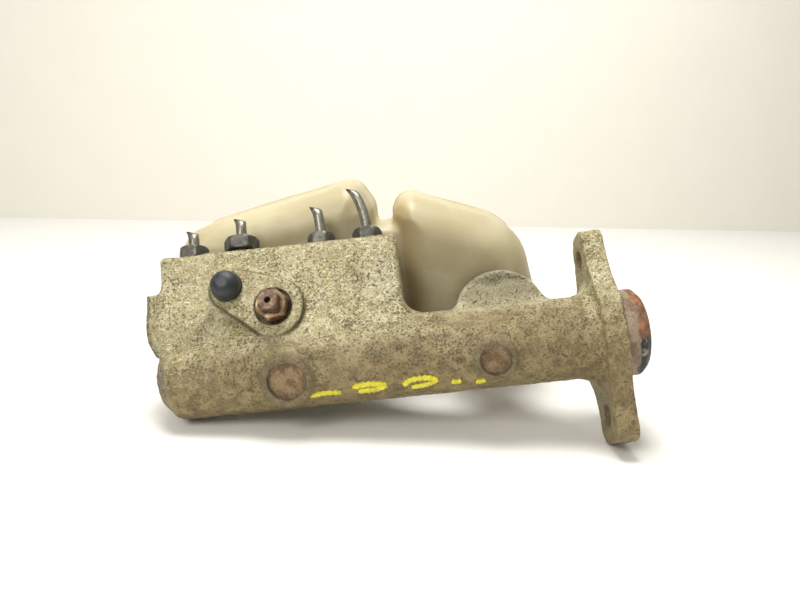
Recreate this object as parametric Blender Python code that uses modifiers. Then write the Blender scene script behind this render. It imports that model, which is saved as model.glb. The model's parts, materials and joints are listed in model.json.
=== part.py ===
"""Tandem brake master cylinder with a built-in pressure valve and a two-chamber reservoir.

Units are metres.  The origin is the centre of the mounting face, on the bore axis.  +X leaves the
mounting face towards the booster, +Y runs up the reservoir to its cap, and +Z is the side on which
the pipes leave.  The casting is turned about the bore axis, so its own y and z axes are those of
the empty "casting_frame": z runs along the two bolt holes, towards the pipe ports.
"""

import math

import bmesh
import bpy
from mathutils import Matrix, Vector

MM = 0.001
GAP = 0.3 * MM
CLEARANCE = 10 * MM

# Casting: bore, barrel, spigot and flange.
CASTING_TILT = math.radians(-30)
BORE_RADIUS = 11 * MM
BORE_END_X = -178 * MM
BARREL_RADIUS = 17.7 * MM
BLIND_END_X = -194 * MM
BLIND_CHAMFER = 8.5 * MM
SPIGOT_RADIUS = 18.4 * MM
SPIGOT_LENGTH = 10.5 * MM
SPIGOT_CHAMFER = 2.5 * MM
FLANGE_THICKNESS = 9 * MM
FLANGE_ROOT = 7 * MM
EAR_TIP = 45.5 * MM
EAR_HALF_WIDTH = 12 * MM
FLANGE_HALF_WIDTH = 20.5 * MM
BOLT_OFFSET = 34 * MM
BOLT_HOLE_RADIUS = 4.3 * MM

# Valve block, its bore and the boss that carries the warning switch.
BLOCK_X = (-192 * MM, -88 * MM)
BLOCK_Y = (-14 * MM, 14.6 * MM)
BLOCK_TOP = 52 * MM
VALVE_Z = 23 * MM
VALVE_BORE_RADIUS = 6 * MM
VALVE_BORE_END_X = -100 * MM
VALVE_BOSS_RADIUS = 13 * MM
SHOULDER_HALF_WIDTH = 12.7 * MM
SHOULDER_TOP = 35.5 * MM
VALVE_BOSS_X = -198 * MM
PLUG_RADIUS = 8 * MM
PLUG_INNER_X = -181 * MM
SWITCH_X = -142 * MM
SWITCH_BOSS_RADIUS = 12.3 * MM
COUNTERBORE_RADIUS = 7.9 * MM
SWITCH_THREAD_RADIUS = 4.8 * MM
VENT_X = -161 * MM
VENT_Z = 33.5 * MM
VENT_BOSS_RADIUS = 8.3 * MM
BOSS_FACE_Y = -18 * MM

# Round spot faces low on the barrel: place along the bore and outer and inner radius.
SPOT_ANGLE = math.radians(29)
SPOTS = ((-138 * MM, 10.9 * MM, 7.9 * MM), (-53 * MM, 8.9 * MM, 6.4 * MM))
SPOT_RISE = 1.6 * MM

VENT_HOLE_RADIUS = 3.5 * MM

# Pipe ports along the top of the block: place, hex size across flats, lift of the nut, free length
# of the pipe, and how far the pipe leans for each unit that it rises.
PORT_Y = -4 * MM
PORT_RADIUS = 4.8 * MM
PORT_DEPTH = 16 * MM
PIPE_RADIUS = 2.375 * MM
PORTS = (
    (-179.8 * MM, 11 * MM, 0.0, 8 * MM, -0.04),
    (-158 * MM, 13 * MM, 2.2 * MM, 9.5 * MM, -0.02),
    (-121.8 * MM, 11 * MM, 0.0, 13.5 * MM, -0.10),
    (-101 * MM, 11 * MM, 0.0, 20.5 * MM, -0.24),
)
HEX_HEIGHT = 6.2 * MM

# Reservoir inlets, in world axes.
INLET_X = (-138 * MM, -46 * MM)
INLET_Z = 10.5 * MM
INLET_BOSS_RADIUS = 20 * MM
INLET_BOSS_Y = (8 * MM, 12 * MM)
INLET_FACE_Y = 34 * MM
INLET_FACE_RADIUS = 14.8 * MM
INLET_HOLE_RADIUS = 12 * MM
INLET_FLOOR_Y = 22 * MM
NIPPLE_RADIUS = 8 * MM
FEED_Z = 8 * MM
FEED_RADIUS = 1.6 * MM

# Reservoir, in world axes.
TANK_Y = (40 * MM, 96 * MM)
TANK_SEAM_Y = 88.5 * MM
TANK_WALL = 2.4 * MM
TANK_FLOOR_ROUND = 17 * MM
TANK_ROOF_ROUND = 7 * MM
BRIDGE_LOW = (-98.5 * MM, 57 * MM, -5 * MM)
BRIDGE_HIGH = (-89 * MM, 82 * MM, 49 * MM)
PASSAGE_LOW = (-104 * MM, 60 * MM, 16 * MM)
PASSAGE_HIGH = (-84 * MM, 72 * MM, 28 * MM)
NECK_X = -128 * MM
NECK_Z = 23 * MM
NECK_RADIUS = 20 * MM
NECK_LOW_Y = 91.5 * MM
NECK_TOP_Y = 107 * MM
NIPPLE_WALL = 1.8 * MM
TANK_REACH = 90 * MM
TANK_COLOUR = (0.62, 0.52, 0.34)
CAP_RADIUS = 25 * MM
CAP_TOP_Y = 113 * MM

# Pistons: rest places along the bore.
PISTON_RADIUS = BORE_RADIUS - GAP
PRIMARY_REAR_X = 3.5 * MM
PRIMARY_FRONT_X = -43.5 * MM
SECONDARY_REAR_X = -104 * MM
SECONDARY_FRONT_X = -146 * MM
SECONDARY_STROKE = 15 * MM
STOP_PIN_X = -138 * MM
STOP_PIN_RADIUS = 1.5 * MM

# Facets round a turned piece, and a turn that keeps the barrel's seam off the casting's flat faces.
SEAM_TURN = math.radians(3.7)
FACETS = 36
SMALL_FACETS = 18


def clear_scene():
    for obj in list(bpy.data.objects):
        bpy.data.objects.remove(obj, do_unlink=True)


def make_collection(name):
    collection = bpy.data.collections.new(name)
    bpy.context.scene.collection.children.link(collection)
    return collection


def make_material(name, colour, roughness, metallic=0.0):
    material = bpy.data.materials.new(name)
    material.use_nodes = True
    shader = material.node_tree.nodes["Principled BSDF"]
    shader.inputs["Base Color"].default_value = (*colour, 1.0)
    shader.inputs["Roughness"].default_value = roughness
    shader.inputs["Metallic"].default_value = metallic
    return material


def add_object(name, mesh, collection, parent=None):
    obj = bpy.data.objects.new(name, mesh)
    collection.objects.link(obj)
    obj.parent = parent
    return obj


def finish_part(obj, colour, roughness, metallic=0.0):
    """Give a piece its own material and smooth shading between its sharp edges."""
    obj.data.materials.clear()
    obj.data.materials.append(make_material(obj.name, colour, roughness, metallic))
    obj.data.shade_smooth()
    obj.data.set_sharp_from_angle(angle=math.radians(35))
    return obj


def axis_matrix(centre, direction):
    """A matrix whose z axis runs along direction, at centre."""
    turn = Vector(direction).to_track_quat("Z", "Y").to_matrix().to_4x4()
    return Matrix.Translation(centre) @ turn


def add_rod(name, radius, start, end, collection, parent=None, facets=FACETS):
    """A cylinder from start to end."""
    start, end = Vector(start), Vector(end)
    mesh = bpy.data.meshes.new(name)
    shape = bmesh.new()
    bmesh.ops.create_cone(
        shape,
        cap_ends=True,
        segments=facets,
        radius1=radius,
        radius2=radius,
        depth=(end - start).length,
        matrix=axis_matrix((start + end) / 2, end - start),
    )
    shape.to_mesh(mesh)
    shape.free()
    return add_object(name, mesh, collection, parent)


def add_box(name, low, high, collection, parent=None, rounding=0.0):
    """A box between two corners, with bevelled edges where rounding is given."""
    low, high = Vector(low), Vector(high)
    mesh = bpy.data.meshes.new(name)
    shape = bmesh.new()
    place = Matrix.Translation((low + high) / 2) @ Matrix.Diagonal((*(high - low), 1.0))
    bmesh.ops.create_cube(shape, size=1.0, matrix=place)
    if rounding:
        bmesh.ops.bevel(
            shape, geom=shape.edges[:], offset=rounding, segments=2, profile=0.5, affect="EDGES"
        )
    shape.to_mesh(mesh)
    shape.free()
    return add_object(name, mesh, collection, parent)


def add_turned(name, profile, collection, parent=None, matrix=None, facets=FACETS, closed=False):
    """Turn (radius, height) points about the local z axis, listed from the top down."""
    mesh = bpy.data.meshes.new(name)
    points = [(radius, 0.0, height) for radius, height in profile]
    edges = [(index, index + 1) for index in range(len(points) - 1)]
    if closed:
        edges.append((len(points) - 1, 0))
    mesh.from_pydata(points, edges, [])
    obj = add_object(name, mesh, collection, parent)
    obj.matrix_local = matrix or axis_matrix((0, 0, 0), (1, 0, 0))
    screw = obj.modifiers.new("turn", "SCREW")
    screw.axis = "Z"
    screw.steps = facets
    screw.render_steps = facets
    screw.use_merge_vertices = True
    screw.merge_threshold = 0.00001
    return obj


def add_turned_ring(name, profile, collection, parent=None, matrix=None, facets=FACETS):
    """Turn a closed (radius, height) outline that stays clear of the axis."""
    return add_turned(name, profile, collection, parent, matrix, facets, closed=True)


def square_ring(inner, outer, low, high):
    """The outline of a plain ring, for add_turned_ring."""
    return [(inner, high), (outer, high), (outer, low), (inner, low)]


def rounded_outline(corners, arc_steps=4):
    """Points round a polygon of (x, y, radius) corners, with an arc at each corner."""
    points = []
    count = len(corners)
    for index in range(count):
        before = Vector(corners[index - 1][:2])
        here = Vector(corners[index][:2])
        after = Vector(corners[(index + 1) % count][:2])
        into, out = (before - here).normalized(), (after - here).normalized()
        half_angle = into.angle(out) / 2
        radius = corners[index][2]
        centre = here + (into + out).normalized() * (radius / math.sin(half_angle))
        first = here + into * (radius / math.tan(half_angle)) - centre
        last = here + out * (radius / math.tan(half_angle)) - centre
        sweep = first.angle_signed(last)
        for step in range(arc_steps + 1):
            angle = -sweep * step / arc_steps
            turned = Vector(
                (
                    first.x * math.cos(angle) - first.y * math.sin(angle),
                    first.x * math.sin(angle) + first.y * math.cos(angle),
                )
            )
            points.append(centre + turned)
    return points


def add_plate(name, outline, thickness, matrix, collection, parent=None):
    """A flat plate of the given outline, centred on the matrix's xy plane."""
    curve = bpy.data.curves.new(name + "_outline", "CURVE")
    curve.dimensions = "2D"
    curve.fill_mode = "BOTH"
    curve.extrude = thickness / 2
    spline = curve.splines.new("POLY")
    spline.points.add(len(outline) - 1)
    for point, place in zip(spline.points, outline):
        point.co = (place[0], place[1], 0.0, 1.0)
    spline.use_cyclic_u = True
    return curve_to_mesh(name, curve, matrix, collection, parent)


def curve_to_mesh(name, curve, matrix, collection, parent=None):
    """Make a closed mesh object from a curve, with its loose caps welded on."""
    source = bpy.data.objects.new(name + "_curve", curve)
    bpy.context.scene.collection.objects.link(source)
    bpy.context.view_layer.update()
    evaluated = source.evaluated_get(bpy.context.evaluated_depsgraph_get())
    mesh = bpy.data.meshes.new_from_object(evaluated)
    bpy.data.objects.remove(source, do_unlink=True)
    shape = bmesh.new()
    shape.from_mesh(mesh)
    bmesh.ops.remove_doubles(shape, verts=shape.verts[:], dist=0.000001)
    bmesh.ops.recalc_face_normals(shape, faces=shape.faces[:])
    shape.to_mesh(mesh)
    shape.free()
    obj = add_object(name, mesh, collection, parent)
    obj.matrix_local = matrix
    return obj


def add_wire(name, points, radius, collection, parent=None, roundness=2):
    """A round wire or pipe through the points."""
    curve = bpy.data.curves.new(name + "_path", "CURVE")
    curve.dimensions = "3D"
    curve.bevel_depth = radius
    curve.bevel_resolution = roundness
    curve.use_fill_caps = True
    spline = curve.splines.new("POLY")
    spline.points.add(len(points) - 1)
    for point, place in zip(spline.points, points):
        point.co = (*place, 1.0)
    return curve_to_mesh(name, curve, Matrix.Identity(4), collection, parent)


def coil_points(start_x, end_x, radius, turns, centre_z=0.0, steps_per_turn=9):
    """Points along a coil about an axis parallel to x, with closed end turns."""
    points = []
    total = turns * steps_per_turn
    for step in range(total + 1):
        share = step / total
        eased = share - math.sin(2 * math.pi * share) / (2 * math.pi) * 0.5
        angle = 2 * math.pi * turns * share
        x = start_x + (end_x - start_x) * eased
        points.append((x, radius * math.cos(angle), centre_z + radius * math.sin(angle)))
    return points


def hide_cutter(obj):
    obj.hide_render = True
    obj.display_type = "WIRE"
    return obj


def combine(target, others, operation):
    """Join or cut the target with other objects, one exact Boolean for each."""
    for other in others:
        hide_cutter(other)
        modifier = target.modifiers.new(operation.lower(), "BOOLEAN")
        modifier.operation = operation
        modifier.solver = "EXACT"
        modifier.object = other


def hexagon(across_flats):
    corner = across_flats / math.sqrt(3)
    return [(corner * math.cos(math.pi * k / 3), corner * math.sin(math.pi * k / 3)) for k in range(6)]


# --- casting -------------------------------------------------------------------------------------


def barrel_profile():
    """The solid outer shape of barrel, flange root and spigot, as (radius, x), from +x down."""
    root_x = -FLANGE_THICKNESS
    profile = [
        (0.0, SPIGOT_LENGTH),
        (SPIGOT_RADIUS - SPIGOT_CHAMFER, SPIGOT_LENGTH),
        (SPIGOT_RADIUS, SPIGOT_LENGTH - SPIGOT_CHAMFER),
        (SPIGOT_RADIUS, root_x / 2),
        (BARREL_RADIUS + 2 * MM, root_x / 2),
    ]
    for step in range(5):
        angle = math.pi / 2 * step / 4
        radius = BARREL_RADIUS + FLANGE_ROOT * 0.6 * (1 - math.sin(angle))
        profile.append((radius, root_x - FLANGE_ROOT * (1 - math.cos(angle))))
    profile += [
        (BARREL_RADIUS, BLIND_END_X + BLIND_CHAMFER),
        (BARREL_RADIUS - BLIND_CHAMFER, BLIND_END_X),
        (0.0, BLIND_END_X),
    ]
    return profile


def flange_outline():
    half = [
        (EAR_HALF_WIDTH, EAR_TIP, 6.5 * MM),
        (EAR_HALF_WIDTH, 27 * MM, 10 * MM),
        (FLANGE_HALF_WIDTH, 11 * MM, 9 * MM),
        (FLANGE_HALF_WIDTH, -11 * MM, 9 * MM),
        (EAR_HALF_WIDTH, -27 * MM, 10 * MM),
        (EAR_HALF_WIDTH, -EAR_TIP, 6.5 * MM),
    ]
    return rounded_outline(half + [(-y, -z, radius) for y, z, radius in half], arc_steps=5)


def teardrop_outline():
    """The hull of the round switch boss and the smaller vent boss, in (x, z)."""
    offset = Vector((VENT_X - SWITCH_X, VENT_Z - VALVE_Z))
    lean = math.asin((SWITCH_BOSS_RADIUS - VENT_BOSS_RADIUS) / offset.length)
    heading = math.atan2(offset.y, offset.x)
    outline = []
    spans = (
        ((SWITCH_X, VALVE_Z), SWITCH_BOSS_RADIUS, heading + math.pi / 2 - lean, math.pi + 2 * lean, 18),
        ((VENT_X, VENT_Z), VENT_BOSS_RADIUS, heading - math.pi / 2 + lean, math.pi - 2 * lean, 10),
    )
    for (x, z), radius, start, sweep, steps in spans:
        for step in range(steps + 1):
            angle = start + sweep * step / steps
            outline.append((x + radius * math.cos(angle), z + radius * math.sin(angle)))
    return outline


def make_casting_shapes(cutters, casting):
    """The solids that join the barrel to make the raw casting."""
    plate_turn = Matrix(((0, 0, 1, 0), (1, 0, 0, 0), (0, 1, 0, 0), (0, 0, 0, 1)))
    front_turn = Matrix(((1, 0, 0, 0), (0, 0, -1, 0), (0, 1, 0, 0), (0, 0, 0, 1)))
    flange_place = Matrix.Translation((-FLANGE_THICKNESS / 2, 0, 0)) @ plate_turn
    boss_place = Matrix.Translation((0, BOSS_FACE_Y / 2, 0)) @ front_turn
    shapes = [
        add_plate("flange_plate", flange_outline(), FLANGE_THICKNESS, flange_place, cutters, casting),
        add_box(
            "valve_block",
            (BLOCK_X[0], BLOCK_Y[0], 0.0),
            (BLOCK_X[1], BLOCK_Y[1], BLOCK_TOP),
            cutters,
            casting,
            rounding=3 * MM,
        ),
        add_plate("switch_boss", teardrop_outline(), -BOSS_FACE_Y, boss_place, cutters, casting),
        add_rod(
            "valve_boss",
            VALVE_BOSS_RADIUS,
            (VALVE_BOSS_X, 0, VALVE_Z),
            (BLOCK_X[0] + 8 * MM, 0, VALVE_Z),
            cutters,
            casting,
        ),
        add_box(
            "valve_boss_shoulders",
            (VALVE_BOSS_X, -SHOULDER_HALF_WIDTH, VALVE_Z),
            (BLOCK_X[0] + 8 * MM, SHOULDER_HALF_WIDTH, SHOULDER_TOP),
            cutters,
            casting,
            rounding=1 * MM,
        ),
    ]
    for number, x in enumerate(INLET_X, start=1):
        boss = [
            (0.0, INLET_FACE_Y),
            (INLET_FACE_RADIUS, INLET_FACE_Y),
            (INLET_BOSS_RADIUS, INLET_BOSS_Y[1]),
            (INLET_BOSS_RADIUS, INLET_BOSS_Y[0]),
            (0.0, INLET_BOSS_Y[0]),
        ]
        place = axis_matrix((x, 0, INLET_Z), (0, 1, 0))
        shapes.append(add_turned(f"inlet_boss_{number}", boss, cutters, None, place))
    outward = Vector((0, -math.cos(SPOT_ANGLE), -math.sin(SPOT_ANGLE)))
    for number, (x, outer, _) in enumerate(SPOTS, start=1):
        centre = Vector((x, 0, 0))
        rim = centre + outward * (BARREL_RADIUS + SPOT_RISE)
        name = f"spot_ring_{number}"
        shapes.append(add_rod(name, outer, centre, rim, cutters, casting, facets=24))
    return shapes


def make_casting_cuts(cutters, casting):
    """Every machined bore, port and spot face."""
    cuts = []
    bore = [
        (0.0, SPIGOT_LENGTH + 2 * MM),
        (BORE_RADIUS, SPIGOT_LENGTH + 2 * MM),
        (BORE_RADIUS, 7 * MM),
        (BORE_RADIUS + 1.3 * MM, 7 * MM),
        (BORE_RADIUS + 1.3 * MM, 5.3 * MM),
        (BORE_RADIUS, 5.3 * MM),
        (BORE_RADIUS, BORE_END_X),
        (0.0, BORE_END_X - 2 * MM),
    ]
    cuts.append(add_turned("main_bore_cut", bore, cutters, casting))
    valve_bore = [
        (0.0, VALVE_BORE_END_X + 2 * MM),
        (VALVE_BORE_RADIUS, VALVE_BORE_END_X),
        (VALVE_BORE_RADIUS, PLUG_INNER_X),
        (PLUG_RADIUS, PLUG_INNER_X),
        (PLUG_RADIUS, VALVE_BOSS_X - 2 * MM),
        (0.0, VALVE_BOSS_X - 2 * MM),
    ]
    place = axis_matrix((0, 0, VALVE_Z), (1, 0, 0))
    cuts.append(add_turned("valve_bore_cut", valve_bore, cutters, casting, place, 24))
    for side, z in (("upper", BOLT_OFFSET), ("lower", -BOLT_OFFSET)):
        start, end = (-FLANGE_THICKNESS - 2 * MM, 0, z), (2 * MM, 0, z)
        name = f"bolt_hole_{side}"
        cuts.append(add_rod(name, BOLT_HOLE_RADIUS, start, end, cutters, casting, SMALL_FACETS))
    for number, (x, *_) in enumerate(PORTS, start=1):
        port = [
            (0.0, BLOCK_TOP + 2 * MM),
            (PORT_RADIUS, BLOCK_TOP + 2 * MM),
            (PORT_RADIUS, BLOCK_TOP - PORT_DEPTH),
            (1.5 * MM, BLOCK_TOP - PORT_DEPTH),
            (1.5 * MM, VALVE_Z + 2 * MM),
            (0.0, VALVE_Z + 2 * MM),
        ]
        place = Matrix.Translation((x, PORT_Y, 0))
        cuts.append(add_turned(f"pipe_port_{number}", port, cutters, casting, place, SMALL_FACETS))
    switch_hole = [
        (0.0, -BOSS_FACE_Y + 2 * MM),
        (COUNTERBORE_RADIUS, -BOSS_FACE_Y + 2 * MM),
        (COUNTERBORE_RADIUS, -BOSS_FACE_Y - 3 * MM),
        (SWITCH_THREAD_RADIUS, -BOSS_FACE_Y - 3 * MM),
        (SWITCH_THREAD_RADIUS, 6.6 * MM),
        (2.2 * MM, 6.6 * MM),
        (2.2 * MM, 0.0),
        (0.0, 0.0),
    ]
    place = axis_matrix((SWITCH_X, 0, VALVE_Z), (0, -1, 0))
    cuts.append(add_turned("switch_hole", switch_hole, cutters, casting, place, 24))
    start, end = (VENT_X, BOSS_FACE_Y - 2 * MM, VENT_Z), (VENT_X, -6 * MM, VENT_Z)
    cuts.append(add_rod("vent_hole", VENT_HOLE_RADIUS, start, end, cutters, casting, SMALL_FACETS))
    outward = Vector((0, -math.cos(SPOT_ANGLE), -math.sin(SPOT_ANGLE)))
    for number, (x, _, inner) in enumerate(SPOTS, start=1):
        floor = Vector((x, 0, 0)) + outward * (BARREL_RADIUS - 0.6 * MM)
        rim = Vector((x, 0, 0)) + outward * (BARREL_RADIUS + 4 * MM)
        cuts.append(add_rod(f"spot_face_{number}", inner, floor, rim, cutters, casting, SMALL_FACETS))
    for number, x in enumerate(INLET_X, start=1):
        socket = [
            (0.0, INLET_FACE_Y + 2 * MM),
            (INLET_HOLE_RADIUS, INLET_FACE_Y + 2 * MM),
            (INLET_HOLE_RADIUS, INLET_FLOOR_Y),
            (0.0, INLET_FLOOR_Y),
        ]
        place = axis_matrix((x, 0, INLET_Z), (0, 1, 0))
        cuts.append(add_turned(f"inlet_socket_{number}", socket, cutters, None, place, 24))
        start, end = (x + 4 * MM, INLET_FLOOR_Y + 1 * MM, FEED_Z), (x + 4 * MM, 2 * MM, FEED_Z)
        cuts.append(add_rod(f"feed_port_{number}", FEED_RADIUS, start, end, cutters, None, 16))
    start = (STOP_PIN_X, INLET_FLOOR_Y + 1 * MM, 2 * MM)
    end = (STOP_PIN_X, 2 * MM, 2 * MM)
    cuts.append(add_rod("stop_pin_hole", STOP_PIN_RADIUS + GAP, start, end, cutters, None, 16))
    return cuts


def make_cylinder_body(parts, cutters, casting):
    turned = axis_matrix((0, 0, 0), (1, 0, 0)) @ Matrix.Rotation(SEAM_TURN, 4, "Z")
    body = add_turned("cylinder_body", barrel_profile(), parts, casting, turned)
    combine(body, make_casting_shapes(cutters, casting), "UNION")
    combine(body, make_casting_cuts(cutters, casting), "DIFFERENCE")
    return finish_part(body, (0.42, 0.36, 0.22), 0.55, 0.5)


# --- pistons and springs in the main bore --------------------------------------------------------


def make_primary_piston(parts, casting):
    rear, front = PRIMARY_REAR_X, PRIMARY_FRONT_X
    socket_radius, socket_depth = 5.5 * MM, 13 * MM
    waist, groove = 7.5 * MM, 8.4 * MM
    profile = [
        (0.0, rear - socket_depth),
        (3 * MM, rear - socket_depth + 1.5 * MM),
        (socket_radius, rear - socket_depth + 5 * MM),
        (socket_radius, rear),
        (PISTON_RADIUS, rear),
        (PISTON_RADIUS, -3.5 * MM),
        (groove, -3.5 * MM),
        (groove, -8 * MM),
        (PISTON_RADIUS, -8 * MM),
        (PISTON_RADIUS, -11 * MM),
        (waist, -11 * MM),
        (waist, -37 * MM),
        (PISTON_RADIUS, -37 * MM),
        (PISTON_RADIUS, front),
        (4 * MM, front),
        (4 * MM, front - 9 * MM),
        (0.0, front - 9 * MM),
    ]
    piston = add_turned("primary_piston", profile, parts, casting, facets=24)
    finish_part(piston, (0.55, 0.52, 0.45), 0.35, 0.9)
    add_seal("primary_rear_seal", groove, -3.5 * MM, -8 * MM, parts, casting)
    add_cup("primary_cup", 4 * MM, front, parts, casting)
    add_spring_seat("primary_spring_seat", 4 * MM, front - 5.4 * MM, parts, casting)


def make_secondary_piston(parts, casting):
    rear, front = SECONDARY_REAR_X, SECONDARY_FRONT_X
    waist, groove = 4.8 * MM, 8.4 * MM
    slot_front = STOP_PIN_X - STOP_PIN_RADIUS - GAP
    slot_rear = STOP_PIN_X + STOP_PIN_RADIUS + SECONDARY_STROKE + 1 * MM
    profile = [
        (0.0, rear),
        (7 * MM, rear),
        (7 * MM, rear - 2 * MM),
        (PISTON_RADIUS, rear - 2 * MM),
        (PISTON_RADIUS, rear - 4 * MM),
        (groove, rear - 4 * MM),
        (groove, rear - 8.5 * MM),
        (PISTON_RADIUS, rear - 8.5 * MM),
        (PISTON_RADIUS, slot_rear),
        (waist, slot_rear),
        (waist, slot_front),
        (PISTON_RADIUS, slot_front),
        (PISTON_RADIUS, front),
        (4 * MM, front),
        (4 * MM, front - 7 * MM),
        (0.0, front - 7 * MM),
    ]
    piston = add_turned("secondary_piston", profile, parts, casting, facets=24)
    finish_part(piston, (0.55, 0.52, 0.45), 0.35, 0.9)
    add_seal("secondary_rear_seal", groove, rear - 4 * MM, rear - 8.5 * MM, parts, casting)
    add_cup("secondary_cup", 4 * MM, front, parts, casting)
    add_spring_seat("secondary_spring_seat", 4 * MM, front - 5.4 * MM, parts, casting)


def add_seal(name, groove_radius, high_x, low_x, parts, casting):
    """A lip seal sitting in a piston's groove."""
    inner, outer = groove_radius + GAP, PISTON_RADIUS
    high, low = high_x - GAP, low_x + GAP
    profile = [
        (inner, high),
        (outer - 0.8 * MM, high),
        (outer, low + 1 * MM),
        (outer, low),
        (inner + 0.9 * MM, low),
        (inner + 0.5 * MM, low + 1.5 * MM),
        (inner, low + 1.5 * MM),
    ]
    seal = add_turned_ring(name, profile, parts, casting, facets=SMALL_FACETS)
    finish_part(seal, (0.02, 0.02, 0.02), 0.6)


def add_cup(name, stem_radius, face_x, parts, casting):
    """A rubber cup on a piston's stem, its lip towards the closed end of the bore."""
    inner, outer, top = stem_radius + GAP, PISTON_RADIUS, face_x - GAP
    profile = [
        (inner, top),
        (outer - 0.5 * MM, top),
        (outer, top - 3 * MM),
        (outer, top - 4.7 * MM),
        (outer - 1 * MM, top - 4.7 * MM),
        (outer - 2.2 * MM, top - 2 * MM),
        (inner, top - 2 * MM),
    ]
    cup = add_turned_ring(name, profile, parts, casting, facets=SMALL_FACETS)
    finish_part(cup, (0.02, 0.02, 0.02), 0.6)


def add_spring_seat(name, stem_radius, top_x, parts, casting):
    outline = square_ring(stem_radius + GAP, 8.4 * MM, top_x - 1 * MM, top_x)
    seat = add_turned_ring(name, outline, parts, casting, facets=SMALL_FACETS)
    finish_part(seat, (0.5, 0.5, 0.5), 0.35, 1.0)


def add_spring(name, high_x, low_x, coil_radius, wire_radius, turns, parts, casting, centre_z=0.0):
    """A compression spring between two faces, with its wire clear of both."""
    clear = wire_radius + GAP
    points = coil_points(high_x - clear, low_x + clear, coil_radius, turns, centre_z)
    spring = add_wire(name, points, wire_radius, parts, casting, roundness=0)
    finish_part(spring, (0.45, 0.45, 0.45), 0.35, 1.0)


def make_bore_fittings(parts, casting):
    """The stop washer and circlip at the mouth, the pin in the front inlet, and both springs."""
    washer = square_ring(6.5 * MM, PISTON_RADIUS, PRIMARY_REAR_X + GAP, 5.1 * MM)
    ring = add_turned_ring("stop_washer", washer, parts, casting, facets=24)
    finish_part(ring, (0.5, 0.48, 0.45), 0.4, 1.0)
    clip = square_ring(8.6 * MM, BORE_RADIUS + 1 * MM, 5.6 * MM, 6.7 * MM)
    ring = add_turned_ring("circlip", clip, parts, casting, facets=24)
    finish_part(ring, (0.25, 0.24, 0.22), 0.4, 1.0)
    start, end = (STOP_PIN_X, INLET_FLOOR_Y - 0.5 * MM, 2 * MM), (STOP_PIN_X, 5.6 * MM, 2 * MM)
    pin = add_rod("stop_pin", STOP_PIN_RADIUS, start, end, parts, None, 16)
    finish_part(pin, (0.45, 0.45, 0.45), 0.35, 1.0)
    high, low = PRIMARY_FRONT_X - 6.4 * MM, SECONDARY_REAR_X - 2 * MM
    add_spring("primary_spring", high, low, 8.2 * MM, 0.9 * MM, 8, parts, casting)
    high, low = SECONDARY_FRONT_X - 6.4 * MM, BORE_END_X
    add_spring("secondary_spring", high, low, 7.2 * MM, 0.8 * MM, 6, parts, casting)


# --- valve, warning switch and vent cap ----------------------------------------------------------


def make_valve(parts, casting):
    place = axis_matrix((0, 0, VALVE_Z), (1, 0, 0))
    land, groove, stem = VALVE_BORE_RADIUS - GAP, 3.2 * MM, 2.4 * MM
    centre = SWITCH_X
    profile = [
        (0.0, centre + 23 * MM),
        (stem, centre + 23 * MM),
        (stem, centre + 18 * MM),
        (land, centre + 18 * MM),
        (land, centre + 6 * MM),
        (groove, centre + 5 * MM),
        (groove, centre - 5 * MM),
        (land, centre - 6 * MM),
        (land, centre - 18 * MM),
        (stem, centre - 18 * MM),
        (stem, centre - 23 * MM),
        (0.0, centre - 23 * MM),
    ]
    spool = add_turned("valve_spool", profile, parts, casting, place, SMALL_FACETS)
    finish_part(spool, (0.6, 0.45, 0.2), 0.35, 1.0)
    front = ("valve_spring_front", centre - 18 * MM, PLUG_INNER_X - GAP)
    rear = ("valve_spring_rear", VALVE_BORE_END_X, centre + 18 * MM)
    for name, high, low in (front, rear):
        add_spring(name, high, low, 4.2 * MM, 0.55 * MM, 5, parts, casting, VALVE_Z)
    plug = [
        (0.0, PLUG_INNER_X - GAP),
        (PLUG_RADIUS - GAP, PLUG_INNER_X - GAP),
        (PLUG_RADIUS - GAP, VALVE_BOSS_X + 1 * MM),
        (4 * MM, VALVE_BOSS_X + 1 * MM),
        (3.4 * MM, VALVE_BOSS_X + 6 * MM),
        (0.0, VALVE_BOSS_X + 6 * MM),
    ]
    plug = add_turned("valve_plug", plug, parts, casting, place, SMALL_FACETS)
    finish_part(plug, (0.35, 0.33, 0.28), 0.45, 1.0)


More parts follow.
